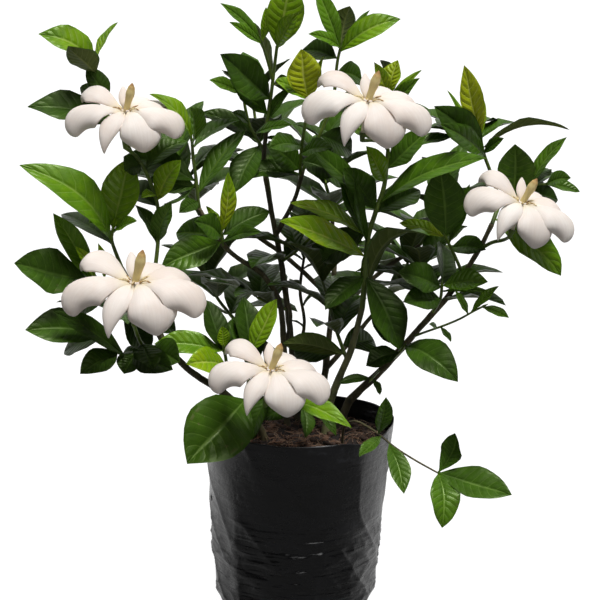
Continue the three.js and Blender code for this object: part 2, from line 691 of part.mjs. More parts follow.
/** A tapered stem through points, with its radius grown by clearance. */
function stemSolid(points, radii, sides, clearance = 0) {
  const path = pathThrough(points);
  const lengths = [0, ...path.getCurveLengths()];
  const normal = new THREE.Vector3();
  const rings = points.map((point, index) => {
    const before = points[Math.max(0, index - 1)];
    const after = points[Math.min(points.length - 1, index + 1)];
    const tangent = after.clone().sub(before).normalize();
    normal.copy(index === 0 ? squareTo(STEM_SIDE, tangent) : squareTo(normal, tangent));
    const binormal = tangent.clone().cross(normal);
    const radius = THREE.MathUtils.lerp(...radii, lengths[index] / lengths.at(-1)) + clearance;
    const end = Number(index === points.length - 1) - Number(index === 0);
    return Array.from({ length: sides }, (_, side) => {
      const turn = 2 * Math.PI * side / sides;
      return point.clone()
        .addScaledVector(tangent, end * clearance)
        .addScaledVector(normal, radius * Math.cos(turn))
        .addScaledVector(binormal, radius * Math.sin(turn));
    });
  });
  return ringSolid(rings);
}

/**
 * A thin blade from rows of { point, normal, thickness }, root row first. Both faces are
 * split into triangles alike, and the last row is the tip's single point.
 */
function bladeSolid(rows) {
  const columns = rows[0].length;
  const body = rows.slice(0, -1);
  const points = [];
  for (const face of [0.5, -0.5]) {
    for (const row of body) {
      for (const { point, normal, thickness } of row) {
        points.push(point.clone().addScaledVector(normal, face * thickness));
      }
    }
  }
  const tip = points.length;
  points.push(rows.at(-1)[0].point);
  const under = body.length * columns;
  const triangles = [];
  const edge = columns - 1;
  for (let row = 0; row + 1 < body.length; row += 1) {
    const start = row * columns;
    for (let column = 0; column < edge; column += 1) {
      const a = start + column;
      const d = a + columns;
      triangles.push([a, d, d + 1], [a, d + 1, a + 1]);
      triangles.push([a + under, d + 1 + under, d + under], [a + under, a + 1 + under, d + 1 + under]);
    }
    const next = start + columns;
    triangles.push([next, start, start + under], [next, start + under, next + under]);
    const far = start + edge;
    const farNext = next + edge;
    triangles.push([far, farNext, farNext + under], [far, farNext + under, far + under]);
  }
  for (let column = 0; column < edge; column += 1) {
    const root = column + under;
    triangles.push([column, column + 1, root + 1], [column, root + 1, root]);
    const a = (body.length - 1) * columns + column;
    triangles.push([a, tip, a + 1], [a + under, a + 1 + under, tip]);
  }
  const near = (body.length - 1) * columns;
  triangles.push([tip, near, near + under], [near + edge, tip, near + edge + under]);
  return solidOf(points, triangles);
}

/** The half width of a leaf, part of its greatest, along its length. */
const leafOutline = (part) => Math.sin(Math.PI * part ** 1.1) ** 0.85;

/** The rows of a leaf from its base to its tip, its upper side along the hint. */
function leafRows({ base, tip, hint, width, arch, plain }, petiole = true) {
  const chord = tip.clone().sub(base);
  const length = chord.length();
  const blade = plain ? PLAIN_BLADE : BLADES.find((kind) => length >= kind.length);
  const along = chord.clone().divideScalar(length);
  const upper = squareTo(hint, along);
  const across = upper.clone().cross(along);
  const row = (part, half, thickness) => {
    const slope = arch * 4 * (1 - 2 * part);
    const normal = upper.clone().addScaledVector(along, -slope).normalize();
    const middle = base.clone().addScaledVector(chord, part)
      .addScaledVector(upper, arch * length * 4 * part * (1 - part));
    return blade.columns.map((side) => ({
      point: middle.clone()
        .addScaledVector(across, side * half)
        .addScaledVector(normal, Math.abs(side) * half * LEAF_FOLD),
      normal,
      thickness,
    }));
  };
  const rows = blade.rows.map((part) => row(part, width / 2 * leafOutline(part), LEAF_THICKNESS));
  if (petiole) {
    rows.unshift(row(0, PETIOLE_WIDTH / 2, PETIOLE_THICKNESS));
  }
  return [...rows, [{ point: tip }]];
}

/** The root of a leaf in its stem, on the side that the leaf's tip lies. */
function leafRoot({ path, radii }, part, tip) {
  const sunk = Math.min(part, 1 - END_ROOT / path.getLength());
  const axis = path.getPoint(sunk);
  const outward = squareTo(tip.clone().sub(axis), path.getTangent(sunk));
  return axis.addScaledVector(outward, PETIOLE_ROOT * THREE.MathUtils.lerp(...radii, part));
}

/** The leaf that a hand-placed row states, its tip moved to or from the viewer. */
function seenLeaf(stem, [part, across, down, depth, width, face, arch], bend) {
  const tip = seen([across, down, depth + bend]);
  const base = leafRoot(stem, part, tip);
  const along = tip.clone().sub(base).normalize();
  const facing = squareTo(VIEWER.clone().sub(base), along);
  const side = facing.clone().cross(along);
  if (side.z + 0.2 * side.x < 0) {
    side.negate();
  }
  const turn = degrees(face);
  const hint = facing.multiplyScalar(Math.cos(turn)).addScaledVector(side, Math.sin(turn));
  return { base, tip, hint, width, arch };
}

/** One leaf of a whorl, turned about the stem. */
function whorlLeaf(stem, { part, azimuth, lift, length, width }, turn) {
  const heading = degrees(azimuth + turn);
  const rise = degrees(lift);
  const tip = stem.path.getPoint(part).add(new THREE.Vector3(
    Math.cos(heading) * Math.cos(rise),
    Math.sin(heading) * Math.cos(rise),
    Math.sin(rise),
  ).multiplyScalar(length));
  return { base: leafRoot(stem, part, tip), tip, hint: UP, width, arch: WHORL_ARCH, plain: true };
}

/** The leaves of a shoot's whorls, each with its seeded jitter. */
function whorlLeaves(whorls) {
  const random = numberSource(WHORL_SEED);
  return whorls.flatMap(([part, count, length, width, lift, azimuth]) => (
    Array.from({ length: count }, (_, index) => ({
      part,
      width,
      azimuth: azimuth + 360 * index / count + WHORL_JITTER.azimuth * (2 * random() - 1),
      lift: lift + WHORL_JITTER.lift * (2 * random() - 1),
      length: length * (1 + WHORL_JITTER.length * (2 * random() - 1)),
    }))
  ));
}

/** The axis of a bloom, from its tube up through its style. */
function bloomAxis({ lean, tip }) {
  return new THREE.Vector3(
    Math.sin(degrees(lean)),
    -Math.sin(degrees(tip)),
    Math.cos(degrees(lean)) * Math.cos(degrees(tip)),
  ).normalize();
}

/** Moves a point of the bloom's own frame, +Z along its axis, to the part. */
function bloomPlacer(bloom) {
  const turn = new THREE.Quaternion().setFromUnitVectors(UP, bloomAxis(bloom));
  const scale = new THREE.Vector3().setScalar(bloom.size);
  return new THREE.Matrix4().compose(seen(bloom.place), turn, scale);
}

/** The half width of a petal, part of its greatest; point sharpens its end. */
function petalOutline(part, point) {
  const round = Math.sin(Math.PI * part ** 1.9) ** 0.6;
  const end = Math.max(0, 2 * part - 1) ** 1.5;
  return round * (1 - 0.6 * point * end);
}

/** The rows of a petal that rises from the throat, arches over and droops. */
function petalRows([azimuth, length, width, rise, droop, bend, point]) {
  const heading = degrees(azimuth);
  const out = new THREE.Vector3(Math.cos(heading), Math.sin(heading), 0);
  const across = new THREE.Vector3(-Math.sin(heading), Math.cos(heading), 0);
  let { reach, height } = PETAL_ROOT;
  const spine = [];
  for (let step = 0; step <= PETAL_STEPS; step += 1) {
    const angle = degrees(rise - (rise + droop) * (step / PETAL_STEPS) ** bend);
    spine.push({ reach, height, angle });
    reach += Math.cos(angle) * length / PETAL_STEPS;
    height += Math.sin(angle) * length / PETAL_STEPS;
  }
  const row = (part) => {
    const { reach: far, height: high, angle } = spine[Math.round(part * PETAL_STEPS)];
    const half = Math.max(width / 2 * petalOutline(part, point), part === 0 ? PETAL_ROOT_WIDTH / 2 : 0);
    const normal = out.clone().multiplyScalar(-Math.sin(angle)).addScaledVector(UP, Math.cos(angle));
    return PETAL_COLUMNS.map((side) => ({
      point: out.clone().multiplyScalar(far).addScaledVector(UP, high)
        .addScaledVector(across, side * half)
        .addScaledVector(normal, -PETAL_ROLL * half * side * side),
      normal,
      thickness: PETAL_THICKNESS,
    }));
  };
  const rows = [0, ...PETAL_ROWS].map(row);
  const { reach: far, height: high } = spine.at(-1);
  return [...rows, [{ point: out.multiplyScalar(far).addScaledVector(UP, high) }]];
}

/** A turned solid from a profile of [height, radius] pairs. */
function turnedSolid(profile, sides) {
  const first = profile[0][0];
  const last = profile.at(-1)[0];
  const outline = [[first, 0], ...profile, [last, 0]];
  const points = outline.map(([height, radius]) => new THREE.Vector2(radius, height));
  const geometry = new THREE.LatheGeometry(points, sides);
  geometry.rotateX(Math.PI / 2);
  return solidFrom(geometry);
}

/** A bloom's petals fused to its tube, with the throat open for the style. */
function bloomSolid(bloom) {
  const tube = turnedSolid(COROLLA_TUBE, TUBE_SIDES);
  const petals = PETALS.map((petal) => bladeSolid(petalRows(petal)));
  const throat = styleShape(2 * GAP).translate(0, 0, -GAP);
  return wasm.Manifold.union([tube, ...petals]).subtract(throat)
    .transform(bloomPlacer(bloom).elements);
}

/** The style in the bloom's own frame, grown by clearance: it leans in the throat. */
function styleShape(clearance = 0) {
  const profile = STYLE.map(([height, radius]) => [height, radius + clearance]);
  return turnedSolid(profile, STYLE_SIDES).rotate(0, STYLE_LEAN, 0);
}

/** The style, which stands in the throat. */
function styleSolid(bloom) {
  return styleShape().transform(bloomPlacer(bloom).elements);
}

/** The place of a point on a bloom's axis. */
function onBloomAxis(bloom, height) {
  return seen(bloom.place).addScaledVector(bloomAxis(bloom), height);
}

/** The bloom that a shoot bears, if it bears one. */
function bloomOf(name) {
  return Object.values(BLOOMS).find(({ shoot }) => shoot === name);
}

/** The height of the calyx's top on a bloom's axis, just under the tube. */
const calyxTop = (bloom) => COROLLA_TUBE[0][0] * bloom.size - GAP;

/** The calyx: the end of a shoot widened under a bloom's tube. */
function calyxSolid(bloom, stemRadius) {
  const top = calyxTop(bloom);
  const ends = [top - CALYX.length, top - CALYX.length / 2, top]
    .map((height) => onBloomAxis(bloom, height));
  return stemSolid(ends, [stemRadius, CALYX.radius], SHOOT_SIDES);
}

/** The path of a shoot, carried on to the calyx of the bloom that it bears. */
function shootPath(name, { path }) {
  const points = path.map(seen);
  const bloom = bloomOf(name);
  if (bloom) {
    points.push(onBloomAxis(bloom, calyxTop(bloom) - CALYX.length + CALYX.overlap));
  }
  return points;
}

/** The woody stems of one plant, grown by clearance. */
function woodySolid(branches, clearance = 0) {
  return wasm.Manifold.union(branches.map(({ path, radii }) => (
    stemSolid(path.map(seen), radii, WOODY_SIDES, clearance)
  )));
}

/** Whether two boxes come within a distance of each other. */
function boxesNear(a, b, distance) {
  return [0, 1, 2].every((axis) => (
    a.min[axis] - distance < b.max[axis] && b.min[axis] - distance < a.max[axis]
  ));
}

/** The solids placed so far, by which each new leaf finds a place that is clear. */
const placedStems = [];
const placedLeaves = []; // with blooms, styles and the bag
const placedBlades = []; // leaves without their petioles

function place(list, node, solid) {
  list.push({ node, solid, box: solid.boundingBox() });
}

/** Whether a solid is clear of those placed, in the same node or in the others. */
function isClear(list, sameNode, node, solid) {
  const box = solid.boundingBox();
  return list.every((other) => (
    (other.node === node) !== sameNode
    || !boxesNear(box, other.box, LEAF_CLEARANCE)
    || solid.minGap(other.solid, LEAF_CLEARANCE) >= LEAF_CLEARANCE
  ));
}

/** A leaf at the first of its steps that is clear, or nothing. */
function clearLeaf(node, steps, leafAt) {
  for (const step of steps) {
    const leaf = leafAt(step);
    const whole = bladeSolid(leafRows(leaf));
    const blade = bladeSolid(leafRows(leaf, false));
    const clear = isClear(placedLeaves, false, node, whole)
      && isClear(placedStems, false, node, blade)
      && isClear(placedBlades, true, node, blade);
    if (clear) {
      place(placedLeaves, node, whole);
      place(placedBlades, node, blade);
      return whole;
    }
  }
  return null;
}

/** The bag's radius at a height and azimuth, its film pushed out in soft lobes. */
function bagRadius(height, azimuth) {
  const above = BAG_PROFILE.findIndex(([, level]) => level >= height);
  const [highPart, high] = BAG_PROFILE.at(above < 0 ? -1 : above);
  const [lowPart, low] = BAG_PROFILE[Math.max(0, (above < 0 ? BAG_PROFILE.length : above) - 1)];
  const part = high > low ? THREE.MathUtils.clamp((height - low) / (high - low), 0, 1) : 0;
  const lobes = BAG_LOBES.amount * Math.min(1, height / 60)
    * Math.cos(BAG_LOBES.count * (azimuth - degrees(BAG_LOBES.azimuth)));
  return BAG_RADIUS * (THREE.MathUtils.lerp(lowPart, highPart, part) + lobes);
}

/** How far the rim is pressed down at an azimuth. */
function rimDip(azimuth) {
  const away = azimuth - degrees(RIM_DIP.azimuth);
  const turn = Math.atan2(Math.sin(away), Math.cos(away)) / degrees(RIM_DIP.spread);
  return RIM_DIP.depth * Math.exp(-turn * turn);
}

/** A ring of the bag's wall at a height, set in from its outside. */
function bagRing(height, inset, sides, dips = false) {
  return Array.from({ length: sides }, (_, side) => {
    const azimuth = 2 * Math.PI * side / sides;
    const radius = bagRadius(height, azimuth) - inset;
    return new THREE.Vector3(
      radius * Math.cos(azimuth) + BAG_LEAN * (1 - height / BAG_HEIGHT),
      radius * Math.sin(azimuth),
      height - (dips ? rimDip(azimuth) : 0),
    );
  });
}

function growBag() {
  const heights = BAG_PROFILE.map(([, height]) => height);
  const outside = ringSolid([
    ...heights.map((height) => bagRing(height, 0, BAG_SIDES)),
    bagRing(BAG_HEIGHT, 0, BAG_SIDES, true),
  ]);
  const inside = ringSolid([
    bagRing(BAG_FLOOR, BAG_FLOOR_INSET, BAG_SIDES),
    ...heights.slice(1).map((height) => bagRing(height + BAG_FLOOR / 2, BAG_WALL, BAG_SIDES)),
    bagRing(BAG_HEIGHT + BAG_WALL, BAG_WALL, BAG_SIDES),
  ]);
  const holes = PUNCHED_HOLES.map(([azimuth, height, diameter]) => {
    const punch = new THREE.CylinderGeometry(diameter / 2, diameter / 2, PUNCH_LENGTH, HOLE_SIDES);
    punch.rotateZ(Math.PI / 2);
    punch.translate(bagRadius(height, degrees(azimuth)), 0, height);
    punch.rotateZ(degrees(azimuth));
    return solidFrom(punch);
  });
  return outside.subtract(wasm.Manifold.union([inside, ...holes]));
}

/** The mix: it fills the bag to below the rim, with a plain hole for each woody stem. */
function pottingMix() {
  const random = numberSource(SOIL_SEED);
  const inset = BAG_WALL + GAP;
  const floor = BAG_FLOOR + GAP;
  const top = bagRing(SOIL_HEIGHT, inset + SOIL_SLACK, SOIL_SIDES);
  const rings = [
    bagRing(floor, SOIL_FLOOR_INSET, SOIL_SIDES),
    ...SOIL_LEVELS.map((height) => bagRing(height, inset + SOIL_SLACK, SOIL_SIDES)),
    top,
    ...SOIL_RINGS.toReversed().map((part) => top.map(({ x, y, z }) => (
      new THREE.Vector3(part * x, part * y, z + SOIL_ROUGHNESS * (2 * random() - 1))
    ))),
  ];
  const stems = Object.values(WOODY_STEMS).map((branches) => woodySolid(branches, HOLE_CLEARANCE));
  const { path, radii } = SHOOTS.shoot_trailing;
  stems.push(stemSolid(path.map(seen), radii, SHOOT_SIDES, HOLE_CLEARANCE));
  return ringSolid(rings).subtract(wasm.Manifold.union(stems));
}

/** A shoot's green stem with its leaves, cut clear of the stems placed before it. */
function shootSolid(name, shoot, stems) {
  const points = shootPath(name, shoot);
  const stem = { path: pathThrough(points), radii: shoot.radii };
  const pieces = [stemSolid(points, shoot.radii, SHOOT_SIDES)];
  const bloom = bloomOf(name);
  if (bloom) {
    pieces.push(calyxSolid(bloom, shoot.radii[1]));
  }
  for (const row of shoot.leaves ?? []) {
    pieces.push(clearLeaf(name, BEND_STEPS, (bend) => seenLeaf(stem, row, bend)));
  }
  for (const leaf of whorlLeaves(shoot.whorls ?? [])) {
    pieces.push(clearLeaf(name, TURN_STEPS, (turn) => whorlLeaf(stem, leaf, turn)));
  }
  return wasm.Manifold.union(pieces.filter(Boolean)).subtract(wasm.Manifold.union(stems));
}

const group = new THREE.Group();

function add(name, solid, colour) {
  const mesh = new THREE.Mesh(geometryFrom(solid), new THREE.MeshStandardMaterial({
    name: colour,
    side: THREE.FrontSide,
    ...COLOURS[colour],
  }));
  mesh.name = name;
  group.add(mesh);
}

const bag = growBag();
add("grow_bag", bag, "bag");
add("potting_mix", pottingMix(), "soil");

const stems = [];
for (const [name, branches] of Object.entries(WOODY_STEMS)) {
  const solid = woodySolid(branches);
  add(name, solid, "bark");
  place(placedStems, name, solid);
  stems.push(woodySolid(branches, GAP));
}
place(placedLeaves, "grow_bag", bag);

for (const [name, bloom] of Object.entries(BLOOMS)) {
  const solid = bloomSolid(bloom);
  add(name, solid, "petal");
  place(placedLeaves, name, solid);
  const style = styleSolid(bloom);
  add(name.replace("bloom", "style"), style, "style");
  place(placedLeaves, name, style);
}
for (const [name, shoot] of Object.entries(SHOOTS)) {
  place(placedStems, name, stemSolid(shootPath(name, shoot), shoot.radii, SHOOT_SIDES));
}
for (const [name, shoot] of Object.entries(SHOOTS)) {
  add(name, shootSolid(name, shoot, stems), "leaf");
  stems.push(stemSolid(shootPath(name, shoot), shoot.radii, SHOOT_SIDES, GAP));
}

export default group;
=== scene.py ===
"""A potted gardenia: a black film grow bag of potting mix, woody stems, leafy green
shoots and five white blooms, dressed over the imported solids. Sizes are in millimetres
until a mesh is made, and +Z is up, with the viewer at -Y."""
import math

import bpy
import numpy as np
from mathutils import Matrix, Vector


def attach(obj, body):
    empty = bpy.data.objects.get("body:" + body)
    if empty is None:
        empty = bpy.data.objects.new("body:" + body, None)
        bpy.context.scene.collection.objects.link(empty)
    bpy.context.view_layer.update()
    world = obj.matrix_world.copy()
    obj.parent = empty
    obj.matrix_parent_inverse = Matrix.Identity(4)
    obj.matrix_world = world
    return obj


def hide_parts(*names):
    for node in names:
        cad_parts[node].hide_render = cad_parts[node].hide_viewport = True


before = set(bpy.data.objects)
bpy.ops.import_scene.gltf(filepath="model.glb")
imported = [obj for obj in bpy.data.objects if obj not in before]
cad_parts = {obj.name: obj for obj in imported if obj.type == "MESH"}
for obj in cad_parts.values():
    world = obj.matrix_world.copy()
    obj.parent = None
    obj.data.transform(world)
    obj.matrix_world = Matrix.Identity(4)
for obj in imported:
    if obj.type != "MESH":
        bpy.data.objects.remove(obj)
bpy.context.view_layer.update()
METRE = 1000.0
FULL_TURN = 2 * math.pi

# The front view: a sheet 600 mm square through the bag's axis, seen by a viewer who
# stands in front and looks slightly down. Places on the plant are given as
# [across, down, depth]: mm from the sheet's left edge, mm below its top edge, and mm
# behind the bag's axis.
SHEET = 600
VIEW_DISTANCE = 2200
VIEW_ELEVATION = math.radians(13)
VIEW_HEIGHT = 324
VIEWER = np.array([
    0.0,
    -VIEW_DISTANCE * math.cos(VIEW_ELEVATION),
    VIEW_HEIGHT + VIEW_DISTANCE * math.sin(VIEW_ELEVATION),
])
UP = np.array([0.0, 0.0, 1.0])
GAP = 0.3  # between a bloom's tube and its calyx

# The grow bag. Its profile's rows hold part of the radius, and height.
BAG_RADIUS = 96
BAG_HEIGHT = 200
BAG_PROFILE = [(0.58, 0), (0.76, 8), (0.852, 24), (0.88, 56), (0.934, 125), (1.0, 192)]
BAG_LEAN = -6  # how far its foot's middle stands to the right of its rim's
BAG_LOBES = {"amount": 0.012, "count": 3, "azimuth": 40, "full_height": 60}
RIM_DIP = {"azimuth": -40, "depth": 6, "spread": 14}
# Punched holes: azimuth, height, diameter
PUNCHED_HOLES = [(190, 122, 7), (-35, 16, 6), (45, 16, 6), (135, 16, 6), (225, 16, 6)]
FILM_THICKNESS = 0.5
FILM_COLUMNS = 300
FILM_LEVELS = 130
FILM_FOOT = 1.5  # the first level above the floor
# Heights between which wrinkles set in above the floor, level creases die out, the film
# is drawn taut under its rim, and the rim's dip and ragged edge set in
WRINKLES_FROM = (2, 14)
WRINKLES_LOW = (70, 125)
TAUT = (185, BAG_HEIGHT)
RIM = (150, BAG_HEIGHT)
RIM_RAGGED = {"height": 0.9, "cells": 5, "seed": 9}

# The potting mix
SOIL_HEIGHT = 184
SOIL_INSET = 4.5  # from the bag's form to the mix, clear of the film's wrinkles
SOIL_FOOT = {"height": 3, "inset": 8}
SOIL_LEVELS = (125, 60, 20, SOIL_FOOT["height"])
SOIL_SIDES = 220
SOIL_RINGS = 75
SOIL_SEED = 41
# Lumps and crumbs of the mix: how high they are and how far apart
LUMPS = [(4.0, 26), (2.4, 9)]
CRUMBS = [(1.5, 3.4), (0.5, 1.5)]
FIBRES = {"count": 760, "length": (8, 30), "radius": (0.28, 0.6), "lift": (0.2, 3.5), "bend": 1.2,
          "rings": 7, "sides": 3, "spread": 0.95}
CHIPS = {"count": 260, "half": (1.0, 4.2), "shape": (1.3, 0.8, 0.45), "tilt": 0.5,
         "uneven": (0.65, 1.1), "above": 0.6, "spread": 0.9}

# Leaves
PETIOLE_ROOT = 0.4  # how far off a stem's axis a leaf starts, part of its radius,
END_ROOT = 2  # and how far at least from the shoot's end
# The solids' leaves may stand bent aside, to clear their neighbours: a placed leaf by
# these steps of depth, and a whorl's by these degrees. Each is found by its tip.
BEND_STEPS = [0, 8, -8, 16, -16, 25, -25, 36, -36, 48, -48, 62, -62]
TURN_STEPS = [0, 12, -12, 24, -24, 38, -38, 52, -52, 70, -70, 90, -90]
TIP_FOUND_WITHIN = 0.6
WHORL_SEED = 7
WHORL_JITTER = {"azimuth": 14, "lift": 9, "length": 0.1}
WHORL_ARCH = 0.1
LEAF_FOLD = 0.3
LEAF_THICKNESS = 0.5
LEAF_WAVES = 2.2  # waves along an edge, and how high and how far aside they go:
LEAF_WAVE = (0.06, 0.16)  # part of the half width,
LEAF_SWAY = 0.035  # and part of the length
PETIOLE_WIDTH = 2.0
# How a leaf's tone, from deep to yellow green, goes on lit and shaded shoots, and how
# far each leaf may stray from it. The shaded shoots' lower tone is painted shade: their
# leaves are darkened because they stand inside and behind the plant.
LIT_TONE = 0.3
SHADED_TONE = 0.18
TONE_JITTER = 0.07
BUD_TONE = 0.2

# Where a leaf's grid has its rows from base to tip, and its sides from edge to edge, for
# leaves listed one by one and for those of whorls
HERO_ROWS = np.array([0, 0.03, 0.07, 0.12, 0.19, 0.28, 0.38, 0.48, 0.58, 0.68, 0.77, 0.85, 0.91, 0.96])
HERO_SIDES = np.array([-1, -0.72, -0.4, -0.12, 0, 0.12, 0.4, 0.72, 1])
PLAIN_ROWS = np.array([0, 0.05, 0.12, 0.24, 0.4, 0.58, 0.76, 0.91])
PLAIN_SIDES = np.array([-1, -0.55, -0.12, 0, 0.12, 0.55, 1])

# Stems: tubes with so many sides and a ring at each step, uneven by a part of the radius
GREEN_TUBE = {"sides": 8, "step": 4, "wobble": 0.06}
WOODY_TUBE = {"sides": 14, "step": 2.5, "wobble": 0.16}
CALYX_TUBE = {"sides": 12, "step": 2}
BUD_TUBE = {"sides": 8, "step": 1}
STAMEN_TUBE = {"sides": 6, "step": 1.5}
CORNER_CUT = 0.2  # how much of each stretch a cut takes off
WOBBLE_CELLS = {"around": 1.3, "along": 9}
SURFACE_STRETCH = 100  # mm of a tube to one unit of its surface coordinates
BUD_ENDS = [[-1], [2], [5]]  # along the shoot, from its end
BUD_RADII = [1.5, 0.2]
SHOOT_RADII = [2.0, 1.5]  # at the foot and end of a shoot that gives none of its own
THINNER = {"shoot_trailing": 0.6}  # brown stems, thinned to this part of their size
KHAKI_STEMS = ["woody_stem_centre"]
TWIG = ("woody_stem_top", 2)  # the stem and which of its branches
# Small leaves on the twig: part of its length, azimuth, lift, length, width
TWIG_LEAVES = [
    (0.35, 200, 30, 18, 7),
    (0.55, 10, 40, 21, 9),
    (0.75, 240, 20, 22, 10),
    (0.9, 340, 15, 22, 10),
    (1.0, 290, 50, 26, 12),
    (1.0, 50, 30, 24, 12),
    (1.0, 190, 15, 25, 12),
]
LEAF_DRAWS = {"shoots": 100, "twig": 90}  # seeds of the leaves' own waves and tones

# Blooms, at the size of the smallest: azimuth, length, width, rise, droop, bend, point, twist
PETALS = [
    (-22, 65, 42, 24, 108, 1.7, 0, 52),
    (-59, 59, 45, 18, 116, 1.2, 0.0, 10),
    (-112, 61, 30, 16, 100, 1.1, 1.0, -30),
    (-152, 68, 37, 26, 120, 1.7, 0.1, -64),
    (156, 62, 38, 44, 120, 2.4, 0.1, -20),
    (104, 27, 15, 70, -20, 1.3, 0.7, 0),
    (68, 46, 32, 38, 50, 1.3, 0.2, 0),
    (24, 48, 38, 34, 58, 1.5, 0.1, 16),
]
PETAL_ROOT = (4.1, -0.6)
PETAL_THICKNESS = 0.9
PETAL_ROLL = 0.4
PETAL_WAIST = 1.8  # half width that a petal keeps at its root
PETAL_RIM = 0.6  # the side from which a petal's edge curls
PETAL_PARTS = np.concatenate([np.linspace(0, 0.88, 20), [0.91, 0.94, 0.965, 0.983, 0.995]])
PETAL_SIDES = np.array([-1, -0.93, -0.8, -0.6, -0.35, -0.12, 0.12, 0.35, 0.6, 0.8, 0.93, 1])
PETAL_STEPS = 96
COROLLA_TUBE = [(-28, 2.2), (-12, 2.6), (-4, 4.2), (1.5, 5.2)]
STYLE = [(-6, 2.4), (0, 2.8), (10, 3.2), (18, 4.4), (24, 3.2), (28, 0.6)]
STYLE_RIBS = {"count": 5, "depth": 0.05, "from": 4, "full": 14}
STYLE_LEAN = 11
STAMENS = 6
STAMEN_TURN = 25
STAMEN_PATH = [(4, 0.5), (7, 3.4), (12, 4.6), (16, 3.6)]  # out from the axis, and up
STAMEN_RADII = [0.9, 0.5]
CALYX = {"length": 9, "radius": 3.6, "overlap": 1}

# Woody stems: branches with the radii at their foot and end
WOODY_STEMS = {
    "woody_stem_left": [
        {"path": [[268, 470, -12], [262, 425, -15], [222, 391, -25], [190, 372, -34], [163, 343, -38],
         [150, 305, -36], [155, 269, -32]], "radii": [4.6, 2.2]},
        {"path": [[163, 343, -38], [140, 300, -34], [122, 268, -38]], "radii": [2.6, 2.1]},
        {"path": [[176, 358, -36], [158, 352, -44], [140, 350, -50]], "radii": [2.5, 2.1]},
    ],
    "woody_stem_centre": [
        {"path": [[320, 470, 0], [330, 400, 0], [345, 365, -5], [353, 345, -8], [362, 308, -10]],
         "radii": [4.4, 3.0]},
    ],
    "woody_stem_right": [
        {"path": [[330, 470, 28], [345, 405, 20], [360, 390, 16], [381, 371, 12], [402, 348, 6],
         [432, 314, 0], [452, 292, -3], [480, 249, -6], [492, 224, -6]], "radii": [4.6, 2.3]},
    ],
    "woody_stem_inner": [
        {"path": [[288, 470, 25], [287, 400, 26], [284, 350, 26], [281, 300, 22], [262, 272, 12],
         [235, 257, 0], [214, 235, -10], [199, 208, -15]], "radii": [3.8, 2.1]},
        {"path": [[284, 350, 26], [292, 318, 34], [284, 286, 38], [279, 256, 40]], "radii": [2.2, 1.6]},
        {"path": [[287, 400, 26], [268, 372, 20], [263, 340, 18], [270, 306, 22]], "radii": [2.2, 1.6]},
    ],
    "woody_stem_top": [
        {"path": [[300, 470, 52], [298, 400, 54], [290, 330, 54], [283, 270, 50], [272, 215, 40],
         [263, 165, 30], [267, 122, 22]], "radii": [4.2, 2.1]},
        {"path": [[276, 235, 44], [295, 200, 30], [303, 170, 14]], "radii": [2.5, 2.0]},
        {"path": [[294, 365, 54], [306, 325, 60], [299, 290, 64], [304, 258, 62]], "radii": [2.0, 1.5]},
    ],
    "woody_stem_back": [
        {"path": [[318, 470, 62], [322, 400, 72], [330, 330, 90], [335, 270, 112], [332, 215, 128]],
         "radii": [4.2, 2.2]},
        {"path": [[325, 370, 78], [360, 330, 108], [385, 300, 130]], "radii": [2.7, 2.1]},
        {"path": [[331, 320, 92], [375, 275, 100], [420, 245, 104]], "radii": [2.6, 2.1]},
        {"path": [[322, 400, 72], [275, 350, 96], [235, 320, 120]], "radii": [2.7, 2.1]},
        {"path": [[333, 300, 98], [285, 255, 112], [240, 225, 112], [200, 215, 104]], "radii": [2.6, 2.1]},
    ],
}
